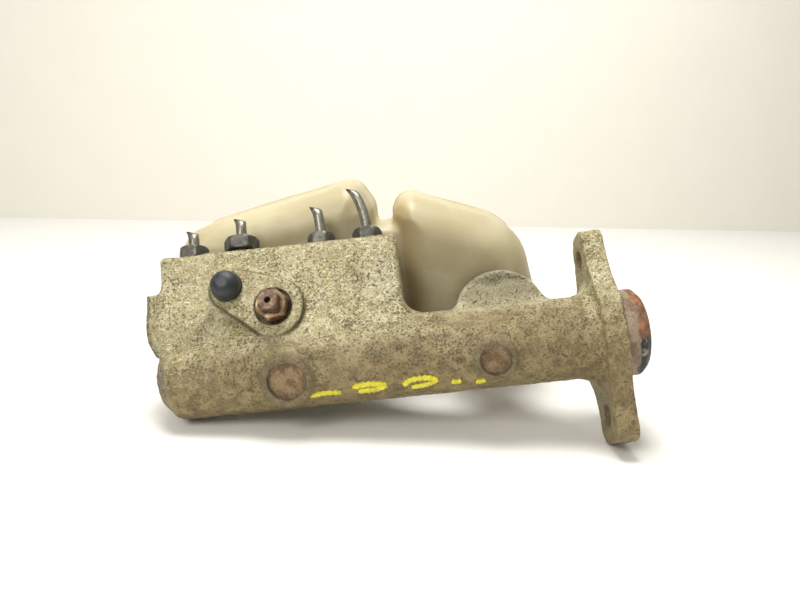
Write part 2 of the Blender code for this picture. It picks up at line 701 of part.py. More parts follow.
def make_switch(parts, cutters, casting):
    """The hexagonal warning switch, its terminal and its sprung plunger."""
    place = axis_matrix((SWITCH_X, 0, VALVE_Z), (0, -1, 0))
    face = -BOSS_FACE_Y - 3 * MM
    hex_low, hex_high = face + GAP, face + 7.5 * MM
    hex_place = place @ Matrix.Translation((0, 0, (hex_low + hex_high) / 2))
    body = add_plate("switch_body", hexagon(12.6 * MM), hex_high - hex_low, hex_place, parts, casting)
    thread = [
        (0.0, hex_low + 1 * MM),
        (SWITCH_THREAD_RADIUS - GAP, hex_low + 1 * MM),
        (SWITCH_THREAD_RADIUS - GAP, 6.9 * MM),
        (0.0, 6.9 * MM),
    ]
    shank = add_turned("switch_shank", thread, cutters, casting, place, SMALL_FACETS)
    hollow = [
        (0.0, hex_high - 2 * MM),
        (2.6 * MM, hex_high - 2 * MM),
        (2.6 * MM, 9 * MM),
        (1.8 * MM, 9 * MM),
        (1.8 * MM, 5 * MM),
        (0.0, 5 * MM),
    ]
    hollow = add_turned("switch_hollow", hollow, cutters, casting, place, SMALL_FACETS)
    combine(body, [shank], "UNION")
    combine(body, [hollow], "DIFFERENCE")
    finish_part(body, (0.28, 0.18, 0.11), 0.5, 0.7)
    low, high = hex_high + GAP, hex_high + 5.5 * MM
    half = 3.9 * MM
    square = [(-half, -half, MM), (-half, half, MM), (half, half, MM), (half, -half, MM)]
    outline = rounded_outline(square)
    tip_place = place @ Matrix.Translation((0, 0, (low + high) / 2))
    terminal = add_plate("switch_terminal", outline, high - low, tip_place, parts, casting)
    hole = add_rod("terminal_hole", 1.3 * MM, (0, 0, low + MM), (0, 0, high + MM), cutters, casting, 16)
    hole.matrix_local = place
    combine(terminal, [hole], "DIFFERENCE")
    finish_part(terminal, (0.45, 0.3, 0.14), 0.45, 0.8)
    plunger = [
        (0.0, 12 * MM),
        (2.2 * MM, 12 * MM),
        (2.2 * MM, 9.3 * MM),
        (1.5 * MM, 9.3 * MM),
        (1.5 * MM, 4.6 * MM),
        (0.6 * MM, 3.7 * MM),
        (0.0, 3.7 * MM),
    ]
    plunger = add_turned("switch_plunger", plunger, parts, casting, place, 16)
    finish_part(plunger, (0.6, 0.58, 0.5), 0.3, 1.0)


def make_vent_cap(parts, casting):
    """A domed rubber cap with a plug that fills the vent hole."""
    radius, rise, top = 6.3 * MM, 8.2 * MM, -BOSS_FACE_Y + GAP
    profile = []
    for step in range(7):
        angle = math.pi / 2 * step / 6
        profile.append((radius * math.sin(angle), top + 2.5 * MM + (rise - 2.5 * MM) * math.cos(angle)))
    profile += [(radius + 0.3 * MM, top + 1.5 * MM), (radius + 0.3 * MM, top)]
    stem = VENT_HOLE_RADIUS - GAP
    profile += [(stem, top), (stem, top - 7 * MM), (0.0, top - 7 * MM)]
    place = axis_matrix((VENT_X, 0, VENT_Z), (0, -1, 0))
    cap = add_turned("vent_cap", profile, parts, casting, place, SMALL_FACETS)
    finish_part(cap, (0.03, 0.032, 0.035), 0.5)


# --- pipes ---------------------------------------------------------------------------------------


def make_pipe_union(number, port, parts, cutters, casting):
    """A brass seat, a hexagonal nut and a cut-off brake pipe in one port."""
    x, across_flats, lift, free_length, lean = port
    floor = BLOCK_TOP - PORT_DEPTH + GAP
    place = Matrix.Translation((x, PORT_Y, 0))
    seat = [
        (1 * MM, floor + 4 * MM),
        (2 * MM, floor + 4 * MM),
        (PORT_RADIUS - GAP, floor + 2 * MM),
        (PORT_RADIUS - GAP, floor),
        (1 * MM, floor),
    ]
    seat = add_turned_ring(f"tube_seat_{number}", seat, parts, casting, place, SMALL_FACETS)
    finish_part(seat, (0.7, 0.5, 0.2), 0.35, 1.0)
    base = BLOCK_TOP + GAP + lift
    top = base + HEX_HEIGHT
    hex_place = place @ Matrix.Translation((0, 0, (base + top) / 2))
    nut = add_plate(f"pipe_nut_{number}", hexagon(across_flats), HEX_HEIGHT, hex_place, parts, casting)
    thread = [
        (0.0, base + 1 * MM),
        (PORT_RADIUS - GAP, base + 1 * MM),
        (PORT_RADIUS - GAP, floor + 6 * MM),
        (0.0, floor + 6 * MM),
    ]
    thread = add_turned(f"nut_thread_{number}", thread, cutters, casting, place, SMALL_FACETS)
    start, end = (x, PORT_Y, floor), (x, PORT_Y, top + 1 * MM)
    hole = add_rod(f"nut_bore_{number}", PIPE_RADIUS + GAP, start, end, cutters, casting, SMALL_FACETS)
    combine(nut, [thread], "UNION")
    combine(nut, [hole], "DIFFERENCE")
    finish_part(nut, (0.13, 0.125, 0.12), 0.5, 0.7)
    points = pipe_points(x, floor + 4 * MM + GAP, top, free_length, lean)
    pipe = add_wire(f"pipe_stub_{number}", points, PIPE_RADIUS, parts, casting, roundness=3)
    finish_part(pipe, (0.3, 0.29, 0.27), 0.45, 0.8)


def pipe_points(x, low, nut_top, free_length, lean):
    """The pipe's centre line: straight through the nut, then leaning as it was bent."""
    points = [(x, PORT_Y, low), (x, PORT_Y, nut_top + 1 * MM)]
    steps = 5
    for step in range(1, steps + 1):
        share = step / steps
        rise = 1 * MM + (free_length - 1 * MM) * share
        points.append((x + lean * rise * share, PORT_Y, nut_top + rise))
    return points


# --- reservoir -----------------------------------------------------------------------------------


def front_chamber():
    return [
        (-196 * MM, -6 * MM, 11 * MM),
        (-196 * MM, 57 * MM, 15 * MM),
        (-106 * MM, 73.5 * MM, 8 * MM),
        (-98.5 * MM, 60 * MM, 6 * MM),
        (-98.5 * MM, -14 * MM, 5 * MM),
        (-106 * MM, -24 * MM, 8 * MM),
    ]


def rear_chamber():
    return [
        (-89 * MM, -12 * MM, 5 * MM),
        (-89 * MM, 55 * MM, 5 * MM),
        (-83.5 * MM, 65 * MM, 7 * MM),
        (-27 * MM, 43 * MM, 24 * MM),
        (-20 * MM, -4 * MM, 13 * MM),
        (-84 * MM, -21 * MM, 7 * MM),
    ]


def inset_corners(corners, distance):
    """Move every side of a clockwise polygon inwards, and tighten its corner arcs to suit."""
    moved = []
    count = len(corners)
    for index in range(count):
        before = Vector(corners[index - 1][:2])
        here = Vector(corners[index][:2])
        after = Vector(corners[(index + 1) % count][:2])
        into, out = (here - before).normalized(), (after - here).normalized()
        normal_in, normal_out = Vector((into.y, -into.x)), Vector((out.y, -out.x))
        shift = (normal_in + normal_out) / (1 + normal_in.dot(normal_out))
        place = here + shift * distance
        moved.append((place.x, place.y, max(corners[index][2] - distance * 0.5, 1 * MM)))
    return moved


def add_tank_form(name, corners, low_y, high_y, floor_round, roof_round, inset, collection):
    """A chamber: one outline lofted along y, with its floor and roof edges rounded over."""
    levels = []
    steps = 4
    for step in range(steps + 1):
        angle = math.pi / 2 * step / steps
        rise, pull = floor_round * (1 - math.cos(angle)), floor_round * (1 - math.sin(angle))
        levels.append((low_y + inset + rise, pull))
    for step in range(3):
        angle = math.pi / 2 * step / 2
        rise, pull = roof_round * math.sin(angle), roof_round * (1 - math.cos(angle))
        levels.append((high_y - inset - roof_round + rise, pull))
    shape = bmesh.new()
    rings = []
    for y, pull in levels:
        outline = rounded_outline(inset_corners(corners, inset + pull), arc_steps=3)
        rings.append([shape.verts.new((x, y, z)) for x, z in outline])
    for low, high in zip(rings, rings[1:]):
        for index in range(len(low)):
            shape.faces.new((low[index - 1], low[index], high[index], high[index - 1]))
    shape.faces.new(rings[0])
    shape.faces.new(rings[-1])
    bmesh.ops.recalc_face_normals(shape, faces=shape.faces[:])
    mesh = bpy.data.meshes.new(name)
    shape.to_mesh(mesh)
    shape.free()
    return add_object(name, mesh, collection)


def make_tub(name, corners, inlet_x, parts, cutters):
    """The lower half of one chamber, open at the seam, with the nipple that feeds its inlet."""
    low, high = TANK_Y
    form = (corners, low, high, TANK_FLOOR_ROUND, TANK_ROOF_ROUND)
    tub = add_tank_form(name, *form, 0.0, parts)
    tip_y = INLET_FLOOR_Y + 3.5 * MM
    root, tip = (inlet_x, low + 2 * MM, INLET_Z), (inlet_x, tip_y, INLET_Z)
    nipple = add_rod(name + "_nipple", NIPPLE_RADIUS, root, tip, cutters, None, SMALL_FACETS)
    bore_radius = NIPPLE_RADIUS - NIPPLE_WALL
    root, tip = (inlet_x, low + 5 * MM, INLET_Z), (inlet_x, tip_y - 2 * MM, INLET_Z)
    above_low = (corners[0][0] - CLEARANCE, TANK_SEAM_Y - GAP / 2, -TANK_REACH)
    cuts = [
        add_tank_form(name + "_hollow", *form, TANK_WALL, cutters),
        add_rod(name + "_nipple_bore", bore_radius, root, tip, cutters, None, SMALL_FACETS),
        add_box(name + "_passage", PASSAGE_LOW, PASSAGE_HIGH, cutters),
        add_box(name + "_above", above_low, (0.0, high + CLEARANCE, TANK_REACH), cutters),
    ]
    combine(tub, [nipple], "UNION")
    combine(tub, cuts, "DIFFERENCE")
    return finish_part(tub, TANK_COLOUR, 0.4)


def make_roof(name, corners, parts, cutters):
    """The upper half of one chamber, down to the seam."""
    low, high = TANK_Y
    form = (corners, low, high, TANK_FLOOR_ROUND, TANK_ROOF_ROUND)
    roof = add_tank_form(name, *form, 0.0, parts)
    below_low = (corners[0][0] - CLEARANCE, low - CLEARANCE, -TANK_REACH)
    cuts = [
        add_tank_form(name + "_hollow", *form, TANK_WALL, cutters),
        add_box(name + "_below", below_low, (0.0, TANK_SEAM_Y + GAP / 2, TANK_REACH), cutters),
    ]
    combine(roof, cuts, "DIFFERENCE")
    return finish_part(roof, TANK_COLOUR, 0.4)


def make_reservoir(parts, cutters):
    """Two chambers, each a tub and a roof welded at one seam, a bridge and a filler neck."""
    make_tub("reservoir_front_tub", front_chamber(), INLET_X[0], parts, cutters)
    make_tub("reservoir_rear_tub", rear_chamber(), INLET_X[1], parts, cutters)
    make_roof("reservoir_rear_roof", rear_chamber(), parts, cutters)
    roof = make_roof("reservoir_front_roof", front_chamber(), parts, cutters)
    start, end = (NECK_X, NECK_LOW_Y, NECK_Z), (NECK_X, NECK_TOP_Y, NECK_Z)
    seat = add_rod("filler_neck_seat", NECK_RADIUS + GAP, start, end, cutters)
    combine(roof, [seat], "DIFFERENCE")
    outline = square_ring(NECK_RADIUS - TANK_WALL, NECK_RADIUS, NECK_LOW_Y, NECK_TOP_Y)
    place = axis_matrix((NECK_X, 0, NECK_Z), (0, 1, 0))
    neck = add_turned_ring("filler_neck", outline, parts, None, place)
    finish_part(neck, TANK_COLOUR, 0.4)
    side = Vector((GAP, 0, 0))
    bridge_low, bridge_high = Vector(BRIDGE_LOW) + side, Vector(BRIDGE_HIGH) - side
    bridge = add_box("reservoir_bridge", bridge_low, bridge_high, parts)
    combine(bridge, [add_box("bridge_passage", PASSAGE_LOW, PASSAGE_HIGH, cutters)], "DIFFERENCE")
    finish_part(bridge, TANK_COLOUR, 0.4)


def make_grommets(parts):
    """A rubber bush in each inlet, with a collar under the reservoir's floor."""
    for number, x in enumerate(INLET_X, start=1):
        inner, outer, collar = NIPPLE_RADIUS + GAP, INLET_HOLE_RADIUS - GAP, 14.2 * MM
        shoulder, top = INLET_FACE_Y + GAP, TANK_Y[0] - GAP
        bottom = INLET_FLOOR_Y + GAP
        profile = [(inner, top), (collar - 1 * MM, top), (collar, top - 1 * MM), (collar, shoulder)]
        profile += [(outer, shoulder), (outer, bottom), (inner, bottom)]
        place = axis_matrix((x, 0, INLET_Z), (0, 1, 0))
        ring = add_turned_ring(f"inlet_grommet_{number}", profile, parts, None, place, 24)
        finish_part(ring, (0.025, 0.025, 0.025), 0.6)


def make_cap(parts, cutters):
    """The ribbed screw cap and the gasket disc that it holds on the neck."""
    place = axis_matrix((NECK_X, 0, NECK_Z), (0, 1, 0))
    skirt = TANK_Y[1] + 2.5 * MM
    hollow_top = NECK_TOP_Y + 3 * MM
    inner = NECK_RADIUS + 1.2 * MM
    profile = [
        (0.0, CAP_TOP_Y),
        (CAP_RADIUS - 3 * MM, CAP_TOP_Y),
        (CAP_RADIUS, CAP_TOP_Y - 2 * MM),
        (CAP_RADIUS, skirt),
        (inner, skirt),
        (inner, hollow_top),
        (0.0, hollow_top),
    ]
    cap = add_turned("reservoir_cap", profile, parts, None, place, FACETS)
    notches = []
    count = 12
    for index in range(count):
        angle = 2 * math.pi * index / count
        reach = CAP_RADIUS + 1.4 * MM
        x, z = NECK_X + reach * math.cos(angle), NECK_Z + reach * math.sin(angle)
        start, end = (x, skirt - 1 * MM, z), (x, CAP_TOP_Y + 1 * MM, z)
        notches.append(add_rod(f"grip_notch_{index + 1}", 2.6 * MM, start, end, cutters, None, 10))
    combine(cap, notches, "DIFFERENCE")
    finish_part(cap, (0.03, 0.03, 0.03), 0.45)
    profile = [
        (0.0, hollow_top - GAP),
        (NECK_RADIUS, hollow_top - GAP),
        (NECK_RADIUS, NECK_TOP_Y + GAP),
        (NECK_RADIUS - TANK_WALL - 1 * MM, NECK_TOP_Y + GAP),
        (NECK_RADIUS - TANK_WALL - 2 * MM, NECK_TOP_Y - 5 * MM),
        (NECK_RADIUS - TANK_WALL - 5 * MM, NECK_TOP_Y - 5 * MM),
        (NECK_RADIUS - TANK_WALL - 6 * MM, NECK_TOP_Y + 1 * MM),
        (0.0, NECK_TOP_Y + 1 * MM),
    ]
    gasket = add_turned("cap_gasket", profile, parts, None, place, 24)
    finish_part(gasket, (0.03, 0.03, 0.03), 0.6)


def main():
    clear_scene()
    parts = make_collection("brake_master_cylinder")
    cutters = make_collection("cutters")
    casting = bpy.data.objects.new("casting_frame", None)
    parts.objects.link(casting)
    casting.rotation_euler = (CASTING_TILT, 0, 0)
    make_cylinder_body(parts, cutters, casting)
    make_primary_piston(parts, casting)
    make_secondary_piston(parts, casting)
    make_bore_fittings(parts, casting)
    make_valve(parts, casting)
    make_switch(parts, cutters, casting)
    make_vent_cap(parts, casting)
    for number, port in enumerate(PORTS, start=1):
        make_pipe_union(number, port, parts, cutters, casting)
    make_reservoir(parts, cutters)
    make_grommets(parts)
    make_cap(parts, cutters)


main()
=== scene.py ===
"""The looks of the brake master cylinder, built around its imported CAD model.

The raw casting and the blow-moulded reservoir are modelled as distance fields: simple forms are
joined with soft fillets, machined features are cut out sharply, and the field is meshed.  The
small parts are lofts.  Every material is procedural.  Lengths are millimetres until a mesh is made.
"""

import functools
import json
import math

import bmesh
import bpy
import numpy as np
import openvdb
from mathutils import Matrix, Vector


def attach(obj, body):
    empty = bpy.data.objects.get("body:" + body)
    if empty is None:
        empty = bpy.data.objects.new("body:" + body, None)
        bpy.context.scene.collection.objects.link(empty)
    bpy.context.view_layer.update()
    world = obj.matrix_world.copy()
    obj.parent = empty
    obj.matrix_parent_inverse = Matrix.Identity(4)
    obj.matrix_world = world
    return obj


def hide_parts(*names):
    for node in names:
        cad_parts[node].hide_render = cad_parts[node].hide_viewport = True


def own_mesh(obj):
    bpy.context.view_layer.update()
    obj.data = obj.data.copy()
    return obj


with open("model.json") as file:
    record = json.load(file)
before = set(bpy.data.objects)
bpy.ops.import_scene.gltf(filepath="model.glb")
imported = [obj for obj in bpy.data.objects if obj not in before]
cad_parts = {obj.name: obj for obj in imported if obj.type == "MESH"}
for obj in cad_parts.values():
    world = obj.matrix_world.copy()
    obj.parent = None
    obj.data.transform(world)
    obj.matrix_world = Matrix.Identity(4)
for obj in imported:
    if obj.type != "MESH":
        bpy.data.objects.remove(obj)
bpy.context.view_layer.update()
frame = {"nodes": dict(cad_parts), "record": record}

MM = 0.001
NODES = frame["nodes"]

# The casting is turned about the bore: its z axis runs along the bolt holes, towards the ports.
TILT = math.radians(30)
COS_TILT, SIN_TILT = math.cos(TILT), math.sin(TILT)

BARREL_RADIUS = 17.7
BLIND_END_X = -194.0
BLIND_CHAMFER = 7.2
BORE_RADIUS = 11.0
BORE_END_X = -178.0
SPIGOT_RADIUS = 18.4
SPIGOT_LENGTH = 10.5
SPIGOT_CHAMFER = 2.5
CIRCLIP_X, CIRCLIP_HALF_WIDTH, CIRCLIP_DEPTH = 6.15, 0.85, 1.3
MOUTH_CHAMFER_DEPTH, MOUTH_CHAMFER_FLARE = 1.2, 0.9
FLANGE_THICKNESS = 9.0
FLANGE_MIDDLE = (
    (-20.5, -11),
    (-20.5, 11),
    (-6, 33),
    (6, 33),
    (20.5, 11),
    (20.5, -11),
    (6, -33),
    (-6, -33),
)
EAR_TIP = 45.5
EAR_HALF_WIDTH = 12.0
UPPER_EAR_FAR_SIDE = 7.5
EAR_CORNER = 6.5
BOLT_OFFSET = 34.0
BOLT_HOLE_RADIUS, BOLT_HOLE_X = 4.3, (-14.0, 4.0)
BLOCK_LOW = (-192.0, -14.0, 2.0)
BLOCK_HIGH = (-88.0, 14.6, 52.0)
VALVE_Z = 23.0
VALVE_BOSS_RADIUS = 13.0
VALVE_BOSS_X = -198.0
VALVE_BORE_RADIUS, VALVE_BORE_X = 6.0, (-200.0, -100.0)
VALVE_PLUG_RADIUS, VALVE_PLUG_X = 8.0, -181.0
BULGE_Y, BULGE_RADIUS, BULGE_X = -0.9, 13.8, (-196.0, -162.0)
SHOULDER_LOW, SHOULDER_HIGH = (-12.7, 20.0), (12.7, 35.5)
SWITCH_X = -142.0
SWITCH_BOSS_RADIUS = 12.3
COUNTERBORE_RADIUS, COUNTERBORE_Y = 7.9, -15.0
SWITCH_HOLE_RADIUS, SWITCH_HOLE_Y = 4.8, -6.6
VENT_X, VENT_Z = -161.0, 33.5
VENT_BOSS_RADIUS = 8.3
VENT_HOLE_RADIUS, VENT_HOLE_Y = 3.5, -6.0
BOSS_FACE_Y = -18.0
SPOT_ANGLE = math.radians(29)
# Each spot face: its x, the radius of its boss and the radius of the dish cut in it.
SPOTS = ((-138.0, 10.9, 7.9), (-53.0, 8.9, 6.4))
PORT_Y = -4.0
PORT_RADIUS = 4.8
PORT_DEPTH = 16.0
PORT_FACE_RADIUS, PORT_FACE_DEPTH = 7.6, 0.45
NUT_GAP = 0.3
# One value for each port, from the blind end: its place, its nut and its pipe.
PORT_X = (-179.8, -158.0, -121.8, -101.0)
NUT_FLATS = (12.3, 13.8, 11.2, 11.8)
NUT_LIFT = (0.0, 2.2, 0.0, 0.0)
NUT_TURN = (0.10, -0.12, 0.05, -0.06)
PIPE_FREE = (8.0, 9.5, 13.5, 20.5)
PIPE_LEAN = (-0.04, -0.02, -0.10, -0.24)
PIPE_RADIUS = 2.375
HEX_HEIGHT = 6.2
INLET_X = (-138.0, -46.0)
INLET_Z = 10.5
INLET_BOSS_RADIUS, INLET_BOSS_Y = 20.0, (8.0, 12.0)
INLET_FACE_RADIUS, INLET_FACE_Y = 14.8, 34.0
INLET_HOLE_RADIUS = 12.0
INLET_FLOOR_Y = 22.0
NIPPLE_RADIUS, NIPPLE_Y = 8.0, (25.5, 46.0)
TANK_LOW_Y, TANK_HIGH_Y = 40.0, 96.0
TANK_FLOOR_ROUND, TANK_ROOF_ROUND = 17.0, 7.0
SEAM_Y, SEAM_WIDTH = (87.6, 89.4), 0.7
BRIDGE_LOW, BRIDGE_HIGH = (-102.0, 48.0, -5.0), (-85.0, 89.0, 49.5)
NECK_X, NECK_Z, NECK_RADIUS, NECK_TOP_Y = -128.0, 23.0, 20.0, 107.0
CAP_RADIUS, CAP_TOP_Y = 25.0, 113.0

# Each spring: its node, the joint that shortens it, the body it stands on, which of its two ends
# along x stays put, and by how many metres it shortens.
SPRINGS = (
    ("primary_spring", "primary_slide", "secondary_piston_set", 0, 15.1 * MM),
    ("secondary_spring", "secondary_slide", "root", 0, 15.2 * MM),
    ("valve_spring_front", "valve_slide", "root", 0, 2.6 * MM),
    ("valve_spring_rear", "valve_slide", "root", 1, 2.6 * MM),
)

# Shallow hollows in the cast skin: the centre and radius of each ball that presses it in.
DENTS = (
    (-183.0, -25.0, 11.5, 10.2),
    (-173.0, -27.0, 15.0, 11.6),
    (-171.5, -27.0, 24.0, 12.2),
    (-187.0, -27.0, 44.0, 12.4),
    (-108.0, -28.5, 14.0, 13.2),
    (-118.0, -28.0, 38.0, 13.2),
)

# The valley between the valve's housing and the barrel: a round groove along this path.
VALLEY = ((-199.0, -16.4, 7.0), (-186.0, -16.3, 9.5), (-176.0, -15.6, 13.0), (-170.5, -15.4, 22.0))
VALLEY_RADIUS = 2.7

# Corners of each of the reservoir's chambers as (x, z, radius), clockwise.
FRONT_CHAMBER = (
    (-196, -6, 11),
    (-196, 57, 17),
    (-106, 73.5, 9),
    (-98.5, 60, 9),
    (-98.5, -14, 5),
    (-106, -24, 8),
)
REAR_CHAMBER = (
    (-89, -12, 5),
    (-89, 55, 8),
    (-83.5, 65, 8),
    (-27, 43, 28),
    (-20, -4, 13),
    (-84, -21, 7),
)
TANK_NODES = (
    "reservoir_front_tub",
    "reservoir_rear_tub",
    "reservoir_front_roof",
    "reservoir_rear_roof",
    "reservoir_bridge",
    "filler_neck",
)

# The box that each distance field is meshed in, and the spacing of its grid.
CASTING_LOW, CASTING_HIGH, CASTING_STEP = (-201.0, -23.0, -47.0), (13.0, 37.0, 55.0), 0.5
TANK_LOW, TANK_HIGH, TANK_STEP = (-200.0, 23.0, -30.0), (-11.0, 110.0, 78.0), 0.9

# Strokes of yellow marker, as points of (x, degrees round the barrel from the side facing -y).
STROKES = {
    "paint_dash": [(-130, -57), (-124, -54), (-117, -56)],
    "paint_arc": [(-112, -49), (-105, -46), (-99, -51), (-103, -57), (-110, -57)],
    "paint_loop": [(-91, -55), (-88, -47), (-81, -46), (-78, -52), (-82, -58), (-88, -60)],
    "paint_spot": [(-71.5, -56), (-69.5, -58), (-67.5, -57)],
    "paint_tick": [(-61.5, -62), (-59.5, -63), (-57.5, -61)],
}

# The table top: where it crosses y = 0, and its fall along x.
FLOOR_X, FLOOR_Z, FLOOR_SLOPE = -4.5, -43.72, -0.141

# The wall and the camera, with their places in metres.
WALL_Y, WALL_TURN = 0.728, math.radians(5.9)
CAMERA_LENS = 29.47
CAMERA_PLACE = (-0.08299, -0.26876, 0.08922)
CAMERA_RIGHT = (0.99404, -0.00347, -0.10892)
CAMERA_AHEAD = (-0.02217, 0.97215, -0.23331)


# --- mesh helpers ---


def new_object(name, vertices, faces, material, body, smooth_angle=None):
    """A mesh object from points in millimetres, riding on a body."""
    mesh = bpy.data.meshes.new(name)
    mesh.from_pydata([tuple(point) for point in np.asarray(vertices) * MM], [], faces)
    mesh.validate()
    obj = dress(name, mesh, material, body, smooth_angle)
    fix_normals(obj)
    return obj


def field_object(name, points, faces, material):
    """A smooth object from a meshed field, facing outwards."""
    mesh = bpy.data.meshes.new(name)
    mesh.from_pydata([tuple(point) for point in points * MM], [], faces)
    obj = dress(name, mesh, material, "root")
    face_outwards(obj)
    return obj


def dress(name, mesh, material, body, smooth_angle=None):
    """An object that shows a mesh in a material, riding on a body."""
    mesh.materials.append(material)
    mesh.shade_smooth()
    if smooth_angle:
        mesh.set_sharp_from_angle(angle=math.radians(smooth_angle))
    obj = bpy.data.objects.new(name, mesh)
    bpy.context.scene.collection.objects.link(obj)
    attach(obj, body)
    return obj


def model_axes(y, z):
    """The model's y and z of a place given in the casting's own axes."""
    return y * COS_TILT + z * SIN_TILT, -y * SIN_TILT + z * COS_TILT


def casting_to_model(points):
    """Turn points from the casting's own axes to the model's."""
    x, y, z = np.moveaxis(np.asarray(points, float), -1, 0)
    return np.stack([x, *model_axes(y, z)], axis=-1)


def basis(direction):
    """A direction, and two unit vectors square to it: the first as near to +x as can be."""
    axis = Vector(direction).normalized()
    near = Vector((1, 0, 0)) if abs(axis.x) < 0.9 else Vector((0, 1, 0))
    side = (near - axis * near.dot(axis)).normalized()
    return np.array(axis), np.array(side), np.array(axis.cross(side))


def loft(rings, loop=False):
    """Vertices and faces of a skin over rings of equal point counts, with capped ends or looped."""
    count = len(rings[0])
    vertices = [point for ring in rings for point in ring]
    faces = []
    for level in range(len(rings) if loop else len(rings) - 1):
        upper = (level + 1) % len(rings)
        for k in range(count):
            nxt = (k + 1) % count
            lower_edge = (level * count + k, level * count + nxt)
            faces.append((*lower_edge, upper * count + nxt, upper * count + k))
    if not loop:
        faces.append(tuple(range(count))[::-1])
        faces.append(tuple((len(rings) - 1) * count + k for k in range(count)))
    return vertices, faces


def turned(profile, centre, direction, segments, radius_at=None, loop=False):
    """Loft a (radius, height) profile about an axis; radius_at may reshape each ring."""
    axis, side, other = basis(direction)
    rings = []
    for radius, height in profile:
        ring = []
        for k in range(segments):
            angle = 2 * math.pi * k / segments
            reach = radius_at(radius, angle) if radius_at else radius
            offset = side * math.cos(angle) + other * math.sin(angle)
            ring.append(np.asarray(centre) + axis * height + offset * reach)
        rings.append(ring)
    return loft(rings, loop)


def fix_normals(obj):
    """Join doubled points and turn all faces outwards."""
    shape = bmesh.new()
    shape.from_mesh(obj.data)
    bmesh.ops.remove_doubles(shape, verts=shape.verts[:], dist=0.000001)
    bmesh.ops.recalc_face_normals(shape, faces=shape.faces[:])
    shape.to_mesh(obj.data)
    shape.free()


def face_outwards(obj):
    """Turn a mesh's faces round if it is inside out, as its signed volume is negative then."""
    shape = bmesh.new()
    shape.from_mesh(obj.data)
    if shape.calc_volume(signed=True) < 0:
        obj.data.flip_normals()
    shape.free()


def vertex_normals(obj):
    normals = np.empty(len(obj.data.vertices) * 3, np.float32)
    obj.data.vertices.foreach_get("normal", normals)
    return normals.reshape(-1, 3).astype(float)


def move_vertices(obj, points):
    """Put an object's vertices at points in millimetres."""
    obj.data.vertices.foreach_set("co", (points * MM).astype(np.float32).ravel())
    obj.data.update()


def store(obj, name, values):
    """Keep one number for each vertex, for the material to read."""
    attribute = obj.data.attributes.new(name, "FLOAT", "POINT")
    attribute.data.foreach_set("value", np.asarray(values, np.float32))


# --- noise ---


def unit(value):
    """Limit to the range from 0 to 1."""
    return np.clip(value, 0, 1)


def hash_cells(cells, seed):
    """A repeatable random number from 0 to 1 for each whole-number cell."""
    mixed = cells[..., 0] * 374761393 + cells[..., 1] * 668265263 + cells[..., 2] * 2147483647
    mixed = (mixed + seed * 1274126177) & 0xFFFFFFFF
    mixed = ((mixed ^ (mixed >> 13)) * 1274126177) & 0xFFFFFFFF
    mixed = ((mixed ^ (mixed >> 16)) * 2246822519) & 0xFFFFFFFF
    return ((mixed ^ (mixed >> 15)) & 0xFFFFFF) / float(0xFFFFFF)


def value_noise(points, size, seed, octaves):
    """Smooth noise from -1 to 1 with features of about the given size."""
    total, weight, height = 0.0, 0.0, 1.0
    for octave in range(octaves):
        scaled = points / size * 2**octave
        cell = np.floor(scaled).astype(np.int64)
        part = scaled - cell
        part = part * part * (3 - 2 * part)
        value = 0.0
        for corner in np.ndindex(2, 2, 2):
            share = 1.0
            for axis in range(3):
                share = share * (part[..., axis] if corner[axis] else 1 - part[..., axis])
            value = value + share * hash_cells(cell + np.array(corner), seed + octave)
        total, weight = total + height * (2 * value - 1), weight + height
        height *= 0.5
    return total / weight


def pits(points, size, seed, share):
    """Depth from 0 to 1 of scattered round pits; share is how many cells hold one."""
    cell = np.floor(points / size).astype(np.int64)
    depth = np.zeros(len(points))
    for offset in np.ndindex(3, 3, 3):
        near = cell + np.array(offset) - 1
        centre = np.stack([hash_cells(near, seed + axis) for axis in range(3)], axis=-1)
        reach = 0.25 + 0.45 * hash_cells(near, seed + 5)
        present = hash_cells(near, seed + 9) < share
        away = np.linalg.norm(points / size - near - centre, axis=-1)
        depth = np.maximum(depth, present * unit(1 - away / reach))
    return depth


# --- distance fields ---


def soft_union(a, b, fillet):
    """The nearer of two fields, with a fillet where they meet."""
    near = np.maximum(fillet - np.abs(a - b), 0) / fillet
    return np.minimum(a, b) - near * near * fillet / 4


def soft_cut(a, b, fillet):
    return -soft_union(-a, b, fillet)


def box_field(x, y, z, low, high, rounding):
    outside = [
        np.abs(value - (lo + hi) / 2) - (hi - lo) / 2 + rounding
        for value, lo, hi in zip((x, y, z), low, high)
    ]
    far = np.sqrt(sum(np.maximum(part, 0) ** 2 for part in outside))
    return far + np.minimum(np.maximum(np.maximum(outside[0], outside[1]), outside[2]), 0) - rounding


def capped(radial, low, high, along, rounding):
    """A body of revolution or extrusion: radial distance limited to a span, with rounded rims."""
    first = radial + rounding
    second = np.abs(along - (low + high) / 2) - (high - low) / 2 + rounding
    far = np.sqrt(np.maximum(first, 0) ** 2 + np.maximum(second, 0) ** 2)
    return far + np.minimum(np.maximum(first, second), 0) - rounding


def polygon_field(x, z, corners):
    """Signed distance to a polygon, negative inside."""
    nearest = np.full(np.broadcast(x, z).shape, np.inf)
    sign = np.ones_like(nearest)
    count = len(corners)
    for index in range(count):
        ax, az = corners[index]
        bx, bz = corners[index - 1]
        edge_x, edge_z = bx - ax, bz - az
        to_x, to_z = x - ax, z - az
        share = unit((to_x * edge_x + to_z * edge_z) / (edge_x**2 + edge_z**2))
        nearest = np.minimum(nearest, (to_x - edge_x * share) ** 2 + (to_z - edge_z * share) ** 2)
        above, below = z >= az, z < bz
        turn = edge_x * to_z > edge_z * to_x
        flip = (above & below & turn) | (~above & ~below & ~turn)
        sign = np.where(flip, -sign, sign)
    return sign * np.sqrt(nearest)


